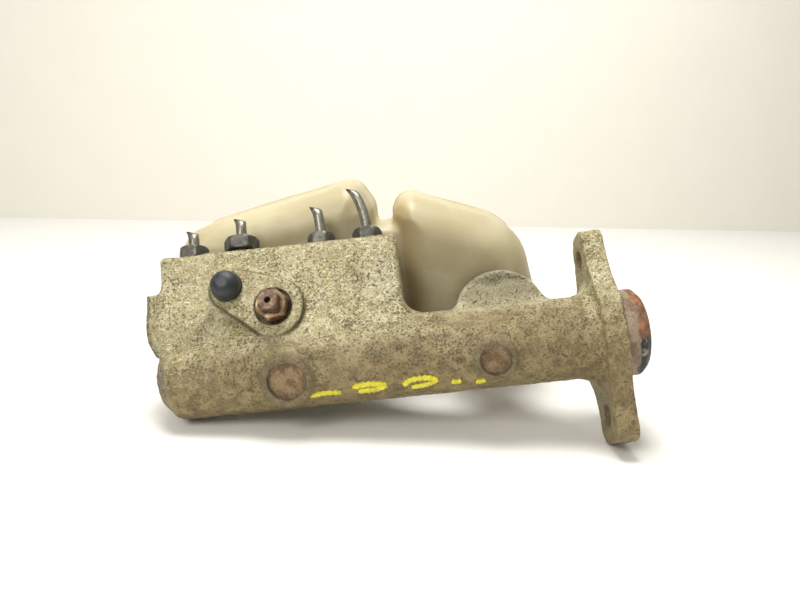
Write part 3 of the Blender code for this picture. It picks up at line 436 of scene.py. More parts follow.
def rectangle(low, high):
    """The corners of a rectangle between two points, clockwise."""
    return [low, (low[0], high[1]), high, (high[0], low[1])]


def inset(corners, distance):
    """Move every side of a clockwise polygon inwards."""
    moved = []
    for index in range(len(corners)):
        before, here = Vector(corners[index - 1]), Vector(corners[index])
        after = Vector(corners[(index + 1) % len(corners)])
        into, out = (here - before).normalized(), (after - here).normalized()
        normal_in, normal_out = Vector((into.y, -into.x)), Vector((out.y, -out.x))
        moved.append(tuple(here + (normal_in + normal_out) * distance / (1 + normal_in.dot(normal_out))))
    return moved


def grid_axes(low, high, step):
    """The places of a grid's points along each axis, shaped to spread over the other two."""
    axes = [np.arange(lo, hi + step, step, dtype=np.float32) for lo, hi in zip(low, high)]
    return [axis.reshape([-1 if k == n else 1 for k in range(3)]) for n, axis in enumerate(axes)]


def mesh_field(field, low, step):
    """Mesh a field's zero surface: returns points in millimetres, and its faces."""
    grid = openvdb.FloatGrid(4.0 * step)
    grid.copyFromArray(np.ascontiguousarray(np.clip(field, -4 * step, 4 * step), dtype=np.float32))
    points, triangles, quads = grid.convertToPolygons(isovalue=0.0, adaptivity=0.0)
    faces = [tuple(int(i) for i in face) for face in quads]
    faces += [tuple(int(i) for i in face) for face in triangles]
    return np.asarray(points, float) * step + np.asarray(low, float), faces


# --- the casting ---


def barrel_field(x, y, z):
    """The barrel, with its chamfered blind end."""
    radial = np.sqrt(y * y + z * z) - BARREL_RADIUS
    end = BLIND_END_X - x
    chamfer = (radial + end + BLIND_CHAMFER) / math.sqrt(2)
    blind = -soft_union(-np.maximum(radial, end), -chamfer, 1.2)
    return np.maximum(-soft_union(-radial, -blind, 0.5), x)


def teardrop_field(x, z):
    """Distance in the block's face to the hull of the switch and vent bosses."""
    span = math.hypot(VENT_X - SWITCH_X, VENT_Z - VALVE_Z)
    along_x, along_z = (VENT_X - SWITCH_X) / span, (VENT_Z - VALVE_Z) / span
    along = (x - SWITCH_X) * along_x + (z - VALVE_Z) * along_z
    across = np.abs((x - SWITCH_X) * along_z - (z - VALVE_Z) * along_x)
    taper = (SWITCH_BOSS_RADIUS - VENT_BOSS_RADIUS) / span
    slope = math.sqrt(1 - taper * taper)
    place = slope * along - taper * across
    first = np.hypot(along, across) - SWITCH_BOSS_RADIUS
    second = np.hypot(along - span, across) - VENT_BOSS_RADIUS
    middle = across * slope + along * taper - SWITCH_BOSS_RADIUS
    return np.where(place < 0, first, np.where(place > slope * span, second, middle))


def flange_field(x, y, z):
    """The flange: two ears for the bolts, joined to its middle."""
    far_side = np.where(z > 0, UPPER_EAR_FAR_SIDE, EAR_HALF_WIDTH)
    middle_y, half_width = (far_side - EAR_HALF_WIDTH) / 2, (far_side + EAR_HALF_WIDTH) / 2
    beside = np.abs(y - middle_y) - half_width + EAR_CORNER
    beyond = np.abs(z) - EAR_TIP + EAR_CORNER
    ears = np.hypot(np.maximum(beside, 0), np.maximum(beyond, 0)) - EAR_CORNER
    middle = polygon_field(y, z, inset(FLANGE_MIDDLE, 7.0)) - 7.0
    outline = soft_union(ears, middle, 8.0)
    return capped(outline, -FLANGE_THICKNESS, 0.0, x, 0.3)


def spot_axes(y, z):
    """Places along and across the direction that the two spot faces look in."""
    out_y, out_z = -math.cos(SPOT_ANGLE), -math.sin(SPOT_ANGLE)
    return y * out_y + z * out_z, y * out_z - z * out_y


def raw_field(x, y, z):
    """The casting as it leaves its mould: forms joined by fillets, then pressed in here and there."""
    barrel = barrel_field(x, y, z)
    block = box_field(x, y, z, BLOCK_LOW, BLOCK_HIGH, 2.6)
    round_part = np.hypot(y, z - VALVE_Z) - VALVE_BOSS_RADIUS
    shoulders = polygon_field(y, z, rectangle(SHOULDER_LOW, SHOULDER_HIGH))
    valve_boss = capped(np.minimum(round_part, shoulders), VALVE_BOSS_X, -180.0, x, 0.6)
    bulge = capped(np.hypot(y - BULGE_Y, z - VALVE_Z) - BULGE_RADIUS, *BULGE_X, x, 6.0)
    flange = flange_field(x, y, z)
    root = 3.0 + 7.0 * unit((x + 184.0) / 16.0)
    towards_ears = unit(np.abs(z) / (np.hypot(y, z) + 0.1)) ** 2
    flange_root = np.where(y < 0, 3.0 + 7.0 * towards_ears, 10.0)
    forms = [(block, root), (valve_boss, 3.5), (bulge, 3.0), (flange, flange_root)]
    model_y, model_z = model_axes(y, z)
    taper = unit((model_y - INLET_BOSS_Y[1]) / (INLET_FACE_Y - INLET_BOSS_Y[1]))
    boss_radius = INLET_BOSS_RADIUS + (INLET_FACE_RADIUS - INLET_BOSS_RADIUS) * taper
    for inlet_x in INLET_X:
        radial = np.hypot(x - inlet_x, model_z - INLET_Z) - boss_radius
        forms.append((capped(radial, INLET_BOSS_Y[0], INLET_FACE_Y, model_y, 0.5), 5.0))
    teardrop = capped(teardrop_field(x, z), BOSS_FACE_Y, -6.0, y, 0.6)
    sheltered = unit(((x - SWITCH_X) * 0.6 + z - VALVE_Z) / 12.0)
    forms.append((teardrop, 1.2 + 4.5 * sheltered))
    along, across = spot_axes(y, z)
    for spot_x, outer, _ in SPOTS:
        radial = np.hypot(x - spot_x, across) - outer
        forms.append((capped(radial, 4.0, BARREL_RADIUS + 1.6, along, 1.1), 2.4))
    soft = barrel
    for form, fillet in forms:
        soft = soft_union(soft, form, fillet)
    soft = soft_cut(soft, valley_field(x, y, z), 2.5)
    for dent_x, dent_y, dent_z, size in DENTS:
        ball = np.sqrt((x - dent_x) ** 2 + (y - dent_y) ** 2 + (z - dent_z) ** 2) - size
        soft = soft_cut(soft, ball, 4.0)
    return soft


def valley_field(x, y, z):
    """Distance to the groove between the valve's housing and the barrel."""
    nearest = np.inf
    for start, end in zip(VALLEY, VALLEY[1:]):
        run = np.subtract(end, start)
        length = float(run @ run)
        share = (x - start[0]) * run[0] + (y - start[1]) * run[1] + (z - start[2]) * run[2]
        share = unit(share / length)
        gaps = [value - first - share * part for value, first, part in zip((x, y, z), start, run)]
        nearest = np.minimum(nearest, sum(gap * gap for gap in gaps))
    return np.sqrt(nearest) - VALLEY_RADIUS


def beyond_span(value, span):
    """How far a value lies past the nearer end of a span; negative within it."""
    return np.maximum(value - span[1], span[0] - value)


def machined_field(x, y, z):
    """Everything cut from the casting: the bores, the holes, the ports and the dished spot faces."""
    main = np.hypot(y, z) - BORE_RADIUS
    cuts = [np.maximum(main, BORE_END_X - x)]
    cuts.append(np.maximum(main - CIRCLIP_DEPTH, np.abs(x - CIRCLIP_X) - CIRCLIP_HALF_WIDTH))
    beyond = x - SPIGOT_LENGTH
    cuts.append(np.maximum(main - MOUTH_CHAMFER_FLARE - beyond, -MOUTH_CHAMFER_DEPTH - beyond))
    valve = np.hypot(y, z - VALVE_Z)
    cuts.append(np.maximum(valve - VALVE_BORE_RADIUS, beyond_span(x, VALVE_BORE_X)))
    cuts.append(np.maximum(valve - VALVE_PLUG_RADIUS, x - VALVE_PLUG_X))
    for bolt_z in (BOLT_OFFSET, -BOLT_OFFSET):
        hole = np.hypot(y, z - bolt_z) - BOLT_HOLE_RADIUS
        cuts.append(np.maximum(hole, beyond_span(x, BOLT_HOLE_X)))
    for port_x in PORT_X:
        port = np.hypot(x - port_x, y - PORT_Y)
        cuts.append(np.maximum(port - PORT_RADIUS, BLOCK_HIGH[2] - PORT_DEPTH - z))
        cuts.append(np.maximum(port - PORT_FACE_RADIUS, BLOCK_HIGH[2] - PORT_FACE_DEPTH - z))
    switch = np.hypot(x - SWITCH_X, z - VALVE_Z)
    cuts.append(np.maximum(switch - COUNTERBORE_RADIUS, y - COUNTERBORE_Y))
    cuts.append(np.maximum(switch - SWITCH_HOLE_RADIUS, y - SWITCH_HOLE_Y))
    vent = np.hypot(x - VENT_X, z - VENT_Z)
    cuts.append(np.maximum(vent - VENT_HOLE_RADIUS, y - VENT_HOLE_Y))
    along, across = spot_axes(y, z)
    for spot_x, _, inner in SPOTS:
        radial = np.hypot(x - spot_x, across)
        dish = BARREL_RADIUS - 0.9 + 0.25 * (radial / inner) ** 4 - along
        cuts.append(-soft_union(inner - radial, -dish, 1.2))
    model_y, model_z = model_axes(y, z)
    for inlet_x in INLET_X:
        radial = np.hypot(x - inlet_x, model_z - INLET_Z)
        cuts.append(np.maximum(radial - INLET_HOLE_RADIUS, INLET_FLOOR_Y - model_y))
    return functools.reduce(np.minimum, cuts)


def spigot_field(x, y, z):
    """The spigot past the flange, with its chamfered rim."""
    radial = np.hypot(y, z) - SPIGOT_RADIUS
    chamfer = (radial + x - SPIGOT_LENGTH + SPIGOT_CHAMFER) / math.sqrt(2)
    return np.maximum(np.maximum(radial, chamfer), np.maximum(x - SPIGOT_LENGTH, -4.0 - x))


def build_casting(material):
    x, y, z = grid_axes(CASTING_LOW, CASTING_HIGH, CASTING_STEP)
    solid = np.minimum(raw_field(x, y, z), spigot_field(x, y, z))
    solid = np.maximum(solid, -machined_field(x, y, z))
    points, faces = mesh_field(solid, CASTING_LOW, CASTING_STEP)
    obj = field_object("casting", casting_to_model(points), faces, material)
    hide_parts("cylinder_body")
    machined = machined_share(*points.T)
    roughen(obj, points, machined)
    store(obj, "machined", machined)
    store(obj, "spigot", unit(points[:, 0] / 0.6))
    store_marks(obj, points)
    store_dirt_and_shade(obj, points)


def machined_share(x, y, z):
    """Where the casting is cut: 1 on a machined face, 0 on the cast skin."""
    machined = unit(1.3 - np.abs(machined_field(x, y, z)) / 0.5)
    spigot = unit(1.4 - np.abs(spigot_field(x, y, z)) / 0.4) * (x > 0.3)
    return np.maximum(machined, spigot)


def roughen(obj, points, machined):
    """Push the cast skin in and out and pit it, but leave machined faces smooth."""
    x, y, z = points.T
    mounting = unit(1.2 - np.abs(x) / 0.4)
    keep = unit(1 - machined - 0.8 * mounting)
    lumpy = 1 + 0.9 * unit((-165.0 - x) / 12.0) * (z > -4)
    rough = 0.26 * lumpy * value_noise(points, 13.0, 3, 2) + 0.20 * value_noise(points, 5.5, 7, 2)
    rough = rough + 0.17 * value_noise(points, 2.1, 11, 2) + 0.06 * value_noise(points, 1.1, 23, 1)
    worn = np.clip(0.5 + 0.9 * value_noise(points, 30.0, 31, 2), 0.1, 1)
    plate = unit(1.5 - np.abs(x + 96.0) / 18.0) * unit(1.6 - np.abs(z - 2.0) / 4.0)
    worn = np.maximum(worn, plate * (y < -10))
    pit = np.maximum(pits(points, 1.9, 41, 0.35), 0.8 * pits(points, 1.3, 57, 0.35))
    depth = (rough - 0.38 * worn * pit) * keep
    move_vertices(obj, casting_to_model(points) + vertex_normals(obj) * depth[:, None])
    store(obj, "pit", pit * worn * keep)


def store_marks(obj, points):
    """Store the rings and dishes of the spot faces, painted shade in the creases, and painted light on
    the inlet boss's face together with a pale patch on the block.
    """
    x, y, z = points.T
    along, across = spot_axes(y, z)
    ring, dish = np.zeros(len(points)), np.zeros(len(points))
    for spot_x, outer, inner in SPOTS:
        away = np.hypot(x - spot_x, across)
        ring = np.maximum(ring, (along > 8) * unit((outer + 1.2 - away) / 1.2))
        dish = np.maximum(dish, (along > 8) * unit((inner - away) / 1.0))
    # painted shade: dark lines along the fillet round the switch and vent bosses, and in the valley
    beside = np.abs(teardrop_field(x, z) - 0.4)
    crease_shade = unit(1.3 - beside / 0.9) * (y < -12) * unit((-12.6 - y) / 0.8)
    crease_shade *= unit((-y - 13.0) / 0.5) * unit((17.4 + y) / 0.8)
    crease_shade = np.maximum(crease_shade, 0.6 * valley_shade(x, y, z))
    model_y, model_z = model_axes(y, z)
    # painted light: the upright face of the inlet boss is lightened where the lamps above light it
    # little
    lit_boss_face = (np.abs(x - INLET_X[1]) < 21) * unit((model_z - 16.0) / 3.0)
    lit_boss_face *= unit((model_y + 4.0) / 5.0) * (x > -70)
    patch = unit(1.4 - np.abs(x + 96.0) / 7.0) * unit(1.4 - np.abs(z - 31.0) / 14.0)
    patch *= (y < -12) * unit(0.6 + 0.8 * value_noise(points, 6.0, 91, 2))
    store(obj, "ring", ring)
    store(obj, "dish", dish)
    store(obj, "crease_shade", crease_shade)
    store(obj, "pale", np.maximum(lit_boss_face, 0.75 * patch))


def store_dirt_and_shade(obj, points):
    """Store brown that deepens towards the barrel's underside, brown stain along the shaft, and soot on
    the hump's crown mixed with painted shade in the valley and darkening on the back, the top rim and
    round the blind end.
    """
    x, y, z = points.T
    model_z = model_axes(y, z)[1]
    # darker brown towards the underside of the barrel
    below = -(y * 0.35 + z * 0.95) / BARREL_RADIUS
    brown = unit(0.55 + 0.6 * below + 0.5 * value_noise(points, 20.0, 71, 3))
    brown *= unit((16.0 - z) / 14.0)
    shaft = unit((x + 92.0) / 16.0) * unit((-9.5 - x) / 6.0)
    shaft *= unit((19.0 - model_z) / 3.0) * unit((24.0 - z) / 4.0)
    drift = 0.78 + 0.35 * value_noise(points, 11.0, 77, 3)
    crown = model_z - 25.0 + 2.5 * value_noise(points, 6.0, 83, 2)
    hump = unit(crown / 2.5) * (np.abs(x - INLET_X[1]) < 21)
    boss_rim = unit((-195.6 - x) / 1.2) * unit((np.hypot(y, z - VALVE_Z) - 9.5) / 2)
    facet = unit((-188.0 - x) / 2.0) * unit((8.0 - z) / 5.0) * 0.8
    rim = unit((z - 50.4) / 1.2) * (x < -86) * 0.7
    back = unit((y - 10.0) / 14.0) * 0.5
    store(obj, "brown", np.maximum(brown, shaft * unit(drift)))
    store(obj, "soot_and_shade", np.max([hump, rim, back, boss_rim, facet, valley_shade(x, y, z)], axis=0))


def valley_shade(x, y, z):
    """How deep in the groove of the valley a place lies, up to 0.35: the strength of the painted shade
    in it.
    """
    return unit(1.3 - np.abs(valley_field(x, y, z)) / 0.5) * 0.35


# --- the reservoir ---


def rounded_outline(corners, steps=6):
    """Points round a polygon of (x, z, radius) corners, with an arc at each corner."""
    points = []
    for index in range(len(corners)):
        before, here = Vector(corners[index - 1][:2]), Vector(corners[index][:2])
        after, radius = Vector(corners[(index + 1) % len(corners)][:2]), corners[index][2]
        into, out = (before - here).normalized(), (after - here).normalized()
        half = into.angle(out) / 2
        reach = radius / math.tan(half)
        centre = here + (into + out).normalized() * (radius / math.sin(half))
        first, last = here + into * reach - centre, here + out * reach - centre
        sweep = first.angle_signed(last)
        for step in range(steps + 1):
            turn = Matrix.Rotation(-sweep * step / steps, 2)
            points.append(tuple(centre + turn @ first))
    return points


def chamber_field(x, y, z, corners):
    """One chamber of the reservoir, rounder at its floor than at its roof, with its welded seam."""
    outline = polygon_field(x, z, rounded_outline(corners))
    middle = (TANK_LOW_Y + TANK_HIGH_Y) / 2
    rounding = np.where(y < middle, TANK_FLOOR_ROUND, TANK_ROOF_ROUND).astype(np.float32)
    form = capped(outline, TANK_LOW_Y, TANK_HIGH_Y, y, rounding)
    seam = capped(outline - SEAM_WIDTH, *SEAM_Y, y, 0.5)
    return soft_union(form, seam, 1.2)


def reservoir_field(x, y, z):
    field = chamber_field(x, y, z, FRONT_CHAMBER)
    field = soft_union(field, chamber_field(x, y, z, REAR_CHAMBER), 3.0)
    field = soft_union(field, box_field(x, y, z, BRIDGE_LOW, BRIDGE_HIGH, 4.0), 4.0)
    neck = capped(np.hypot(x - NECK_X, z - NECK_Z) - NECK_RADIUS, 90.0, NECK_TOP_Y, y, 0.8)
    field = soft_union(field, neck, 4.0)
    for inlet_x in INLET_X:
        nipple = np.hypot(x - inlet_x, z - INLET_Z) - NIPPLE_RADIUS
        field = soft_union(field, capped(nipple, *NIPPLE_Y, y, 1.0), 2.0)
    return field


def build_reservoir(material):
    x, y, z = grid_axes(TANK_LOW, TANK_HIGH, TANK_STEP)
    points, faces = mesh_field(reservoir_field(x, y, z), TANK_LOW, TANK_STEP)
    obj = field_object("reservoir_shell", points, faces, material)
    sag = 0.45 * value_noise(points, 26.0, 5, 2) + 0.05 * value_noise(points, 5.0, 8, 2)
    move_vertices(obj, points + vertex_normals(obj) * sag[:, None])
    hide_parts(*TANK_NODES)


# --- materials ---


class Shader:
    """A small helper that builds one node material."""

    def __init__(self, name):
        self.material = bpy.data.materials.new(name)
        self.material.use_nodes = True
        self.tree = self.material.node_tree
        self.surface = self.tree.nodes["Principled BSDF"]
        self.place = self.tree.nodes.new("ShaderNodeTexCoord").outputs["Object"]

    def add(self, kind, **settings):
        node = self.tree.nodes.new(kind)
        for key, value in settings.items():
            setattr(node, key, value)
        return node

    def feed(self, socket, value):
        if isinstance(value, bpy.types.NodeSocket):
            self.tree.links.new(value, socket)
        elif isinstance(value, (tuple, list)) and socket.type == "RGBA":
            socket.default_value = (*value[:3], 1.0)
        else:
            socket.default_value = value

    def noise(self, size_mm, detail=4.0, roughness=0.55, distortion=0.0, stretch=None):
        """Noise with features of about a size, finer along an axis where its stretch is larger."""
        node = self.add("ShaderNodeTexNoise")
        self.feed(node.inputs["Vector"], self.stretched(stretch))
        node.inputs["Scale"].default_value = 1000.0 / size_mm
        node.inputs["Detail"].default_value = detail
        node.inputs["Roughness"].default_value = roughness
        node.inputs["Distortion"].default_value = distortion
        return node.outputs["Fac"]

    def stretched(self, stretch):
        if stretch is None:
            return self.place
        node = self.add("ShaderNodeMapping")
        self.feed(node.inputs["Vector"], self.place)
        node.inputs["Scale"].default_value = stretch
        return node.outputs["Vector"]

    def attribute(self, name):
        return self.add("ShaderNodeAttribute", attribute_name=name).outputs["Fac"]

    def ramp(self, value, low, high):
        """Spread a value from low..high to 0..1."""
        node = self.add("ShaderNodeMapRange", interpolation_type="SMOOTHSTEP")
        self.feed(node.inputs["Value"], value)
        node.inputs["From Min"].default_value = low
        node.inputs["From Max"].default_value = high
        return node.outputs["Result"]

    def math(self, operation, a, b, clamp=False):
        node = self.add("ShaderNodeMath", operation=operation, use_clamp=clamp)
        self.feed(node.inputs[0], a)
        self.feed(node.inputs[1], b)
        return node.outputs[0]

    def mix(self, share, a, b):
        node = self.add("ShaderNodeMix", data_type="RGBA")
        self.feed(node.inputs[0], share)
        self.feed(node.inputs[6], a)
        self.feed(node.inputs[7], b)
        return node.outputs[2]

    def over(self, colour, cover, strength, tint):
        """Lay a tint over a colour wherever a cover is, at a strength."""
        return self.mix(self.math("MULTIPLY", cover, strength), colour, tint)

    def part(self, vector, axis):
        split = self.add("ShaderNodeSeparateXYZ")
        self.feed(split.inputs[0], vector)
        return split.outputs[axis]

    def direction(self, axis):
        """One part of the surface's own normal."""
        return self.part(self.add("ShaderNodeNewGeometry").outputs["Normal"], axis)

    def position(self, axis):
        return self.part(self.place, axis)

    def bump(self, height, distance_mm, strength):
        node = self.add("ShaderNodeBump")
        self.feed(node.inputs["Height"], height)
        node.inputs["Distance"].default_value = distance_mm * MM
        node.inputs["Strength"].default_value = strength
        return node.outputs["Normal"]

    def finish(self, colour, roughness, metallic=0.0, normal=None, **sockets):
        self.feed(self.surface.inputs["Base Color"], colour)
        self.feed(self.surface.inputs["Roughness"], roughness)
        self.feed(self.surface.inputs["Metallic"], metallic)
        if normal is not None:
            self.feed(self.surface.inputs["Normal"], normal)
        for name, value in sockets.items():
            self.feed(self.surface.inputs[name.replace("_", " ")], value)
        return self.material


def casting_material():
    """Pale zinc alloy with painted glints, dark flecks and pits, brown that deepens low down and along
    the shaft, soot, painted shade in creases and hollows, painted light on the boss's face, and worn
    spot faces.
    """
    s = Shader("cast_zinc")
    broad, medium = s.noise(24, 3), s.noise(4.5, 4, 0.6)
    fine, grain = s.noise(1.0, 2, 0.6), s.noise(0.55, 2, 0.6)
    pale = s.mix(s.ramp(broad, 0.35, 0.65), (0.33, 0.27, 0.125), (0.43, 0.375, 0.20))
    colour = s.mix(s.ramp(medium, 0.4, 0.68), pale, (0.54, 0.49, 0.31))
    # painted highlight: bright cream specks laid into the colour to stand in for the zinc's glints
    painted_glint = s.ramp(s.noise(0.9, 2, 0.6, 0.3), 0.54, 0.68)
    colour = s.over(colour, painted_glint, 0.75, (0.78, 0.74, 0.56))
    shade = s.ramp(s.noise(1.6, 3, 0.65), 0.52, 0.68)
    colour = s.over(colour, shade, 0.72, (0.20, 0.155, 0.075))
    # the brown laid over the barrel, deepest towards its underside and along the shaft
    brown_tint = s.mix(s.ramp(medium, 0.3, 0.7), (0.145, 0.097, 0.037), (0.29, 0.215, 0.087))
    colour = s.over(colour, s.attribute("brown"), 0.85, brown_tint)
    # painted light on the inlet boss's face, which shares this attribute with a real pale patch on the
    # block
    colour = s.over(colour, s.attribute("pale"), 0.6, (0.66, 0.62, 0.46))
    # soot on the hump's crown, with painted shade in the valley and darkening on the back, the top rim
    # and round the blind end
    soot_and_shade = s.attribute("soot_and_shade")
    colour = s.over(colour, soot_and_shade, 0.5, (0.13, 0.11, 0.065))
    # painted shade in the creases round the bosses and in the valley
    colour = s.over(colour, s.attribute("crease_shade"), 0.8, (0.07, 0.05, 0.025))
    reach = s.math("ADD", s.ramp(s.noise(15, 3, 0.6), 0.40, 0.64), soot_and_shade)
    level = s.math("ADD", fine, s.math("MULTIPLY", reach, 0.08))
    fleck = s.math("MULTIPLY", s.ramp(level, 0.60, 0.69), 0.78)
    colour = s.mix(fleck, colour, (0.085, 0.066, 0.032))
    pit = s.ramp(s.attribute("pit"), 0.2, 0.8)
    colour = s.over(colour, pit, 0.8, (0.07, 0.053, 0.027))
    colour = s.over(colour, s.attribute("ring"), 0.5, (0.15, 0.12, 0.07))
    worn_dish = s.mix(s.ramp(medium, 0.4, 0.6), (0.20, 0.115, 0.06), (0.36, 0.25, 0.13))
    colour = s.over(colour, s.attribute("dish"), 0.85, worn_dish)
    bored = s.mix(s.ramp(s.noise(5, 5, 0.7), 0.4, 0.62), (0.13, 0.10, 0.07), (0.27, 0.20, 0.12))
    bare = s.math("SUBTRACT", s.attribute("machined"), s.attribute("dish"), True)
    colour = s.over(colour, bare, 0.75, bored)
    colour = s.mix(s.attribute("spigot"), colour, spigot_colour(s))
    roughness = s.math("ADD", s.math("MULTIPLY", medium, 0.3), 0.34)
    dull = s.math("MAXIMUM", fleck, s.attribute("brown"))
    metallic = s.math("SUBTRACT", 0.35, s.math("MULTIPLY", dull, 0.25), True)
    height = s.math("ADD", s.math("MULTIPLY", fine, 1.0), s.math("MULTIPLY", grain, 0.45))
    height = s.math("SUBTRACT", height, s.math("MULTIPLY", fleck, 0.5))
    return s.finish(colour, roughness, metallic, s.bump(height, 0.9, 1.0))


def spigot_colour(s):
    """Matt brown near the flange; rust over the top of the rim and patchy black lower down."""
    inner = s.mix(s.ramp(s.noise(7, 4, 0.7), 0.42, 0.58), (0.22, 0.15, 0.10), (0.36, 0.27, 0.18))
    ragged = s.math("MULTIPLY", s.math("SUBTRACT", s.noise(7, 4), 0.5), 0.006)
    outer = s.ramp(s.math("ADD", s.position("X"), ragged), 0.0050, 0.0062)
    rust = s.mix(s.ramp(s.noise(4, 4, 0.6), 0.4, 0.6), (0.17, 0.085, 0.045), (0.40, 0.17, 0.07))
    bare = s.ramp(s.noise(3.2, 4, 0.7), 0.55, 0.64)
    black = s.mix(bare, (0.03, 0.03, 0.028), (0.33, 0.30, 0.24))
    ragged = s.math("MULTIPLY", s.math("SUBTRACT", s.noise(9, 4), 0.5), 0.03)
    top = s.ramp(s.math("ADD", s.position("Z"), ragged), 0.001, 0.005)
    return s.mix(outer, inner, s.mix(top, black, rust))


def tank_material():
    """Cream plastic that lets some light in, with painted light and shade: lighter on faces that look up
    and higher up, a painted murky shade on lower and downward faces, and its blind end painted amber as
    light through its thick wall looks.
    """
    s = Shader("aged_translucent_plastic")
    # painted light and shade: faces that look up get the cream, faces that look down the murky shade
    up = s.ramp(s.direction("Z"), -0.25, 0.75)
    stain = s.noise(26, 3, 0.55, 0.4)
    cream = s.mix(s.ramp(stain, 0.35, 0.65), (0.48, 0.415, 0.25), (0.56, 0.505, 0.33))
    shaded_murk = s.mix(s.ramp(stain, 0.40, 0.60), (0.27, 0.225, 0.14), (0.46, 0.40, 0.265))
    colour = s.mix(up, shaded_murk, cream)
    # painted light: lighter higher up, where light comes through from above
    high = s.ramp(s.position("Z"), -0.004, 0.042)
    colour = s.over(colour, high, 0.95, cream)
    # painted light: the blind end's face turns amber, as light through the thick wall looks
    colour = s.over(colour, s.ramp(s.direction("X"), -0.2, -0.9), 0.6, (0.42, 0.29, 0.12))
    dust = s.ramp(s.noise(3.0, 5, 0.7), 0.58, 0.75)
    colour = s.over(colour, dust, 0.2, (0.22, 0.17, 0.10))
    roughness = s.math("ADD", s.math("MULTIPLY", s.noise(9, 4), 0.2), 0.34)
    normal = s.bump(s.noise(2.0, 3, 0.6), 0.06, 0.3)
    depth = {"Subsurface_Weight": 0.5, "Subsurface_Radius": (1.0, 0.66, 0.36), "Subsurface_Scale": 0.010}
    return s.finish(colour, roughness, 0.0, normal, IOR=1.49, **depth)


def steel_material(name, dark, light, size, rust, roughness=0.42, metallic=0.85, stretch=None):
    """Oxidised steel or brass: two tones, fine scratches, optional rust and burnt ends."""
    s = Shader(name)
    tone = s.ramp(s.noise(size, 5, 0.65, 0.0, stretch), 0.35, 0.68)
    colour = s.mix(tone, dark, light)
    speck = s.ramp(s.noise(size * 0.25, 3, 0.7, 0.0, stretch), 0.6, 0.75)
    colour = s.over(colour, speck, 0.5, tuple(0.35 * part for part in dark))
    if rust:
        patch = s.ramp(s.noise(size * 1.7, 5, 0.75, 0.5), 0.62 - rust * 0.25, 0.72)
        colour = s.mix(patch, colour, (0.22, 0.10, 0.045))
    colour = s.over(colour, s.attribute("burnt"), 0.9, (0.028, 0.026, 0.022))
    scratch = s.noise(0.5, 3, 0.6, 0.0, stretch or (1.0, 1.0, 1.0))
    spread = s.math("ADD", s.math("MULTIPLY", tone, -0.12), roughness)
    normal = s.bump(s.math("ADD", scratch, s.math("MULTIPLY", speck, -0.6)), 0.06, 0.6)
    return s.finish(colour, spread, metallic, normal)


def rubber_material(name, dark, light, roughness):
    """Rubber or dark plastic: two tones of bloom, and dust in its grain."""
    s = Shader(name)
    bloom = s.ramp(s.noise(5, 5, 0.6), 0.35, 0.75)
    colour = s.mix(bloom, dark, light)
    dust = s.ramp(s.noise(0.8, 3, 0.7), 0.62, 0.78)
    colour = s.over(colour, dust, 0.35, (0.20, 0.17, 0.11))
    normal = s.bump(s.noise(0.7, 4, 0.6), 0.05, 0.5)
    return s.finish(colour, s.math("ADD", s.math("MULTIPLY", bloom, 0.15), roughness), 0.0, normal)


def paint_material():
    s = Shader("marker_paint")
    tone = s.ramp(s.noise(2.5, 4, 0.6), 0.35, 0.65)
    colour = s.mix(tone, (0.56, 0.50, 0.02), (0.74, 0.68, 0.035))
    bare = s.ramp(s.noise(0.7, 3, 0.7), 0.63, 0.72)
    colour = s.over(colour, bare, 0.6, (0.25, 0.2, 0.08))
    return s.finish(colour, 0.45, 0.0, s.bump(s.noise(0.9, 3), 0.08, 0.6))


# --- small parts ---


def hex_reach(across_flats, angle):
    """Distance from a hexagon's centre to its side at an angle."""
    return across_flats / 2 / math.cos((angle + math.pi / 6) % (math.pi / 3) - math.pi / 6)


def nut_base(number):
    """Height of a tube nut's hexagon above the bore, along the casting's own z axis."""
    return BLOCK_HIGH[2] - PORT_FACE_DEPTH + NUT_GAP + NUT_LIFT[number - 1]


def build_nut(number, material):
    """A tube nut: hexagon with chamfered corners, its threaded shank and the bore for the pipe."""
    x, flats = PORT_X[number - 1], NUT_FLATS[number - 1]
    base = nut_base(number)
    top = base + HEX_HEIGHT
    corner = flats / math.sqrt(3)
    bore = PIPE_RADIUS + 0.25
    profile = [
        (bore, base - 8.0),
        (PORT_RADIUS - 0.35, base - 8.0),
        (PORT_RADIUS - 0.35, base),
        (flats / 2 - 0.3, base),
        (flats / 2 + 0.15, base + 0.2),
        (corner - 0.35, base + 0.75),
        (corner + 0.05, base + 1.15),
        (corner + 0.05, top - 1.3),
        (corner - 0.25, top - 0.95),
        (flats / 2 + 0.1, top - 0.15),
        (flats / 2 - 0.45, top),
        (bore + 0.9, top),
        (bore + 0.2, top - 0.2),
        (bore, top - 0.8),
    ]
    turn = math.pi / 6 + NUT_TURN[number - 1]

    def reach(radius, angle):
        if radius < flats / 2 - 0.5:
            return radius
        return min(radius, hex_reach(flats, angle + turn) - 0.02 * math.cos(6 * (angle + turn)))

    vertices, faces = turned(profile, (x, PORT_Y, 0.0), (0, 0, 1), 72, reach, loop=True)
    name = f"hex_nut_{number}"
    obj = new_object(name, casting_to_model(vertices), faces, material, "root", 28)
    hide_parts(f"pipe_nut_{number}")


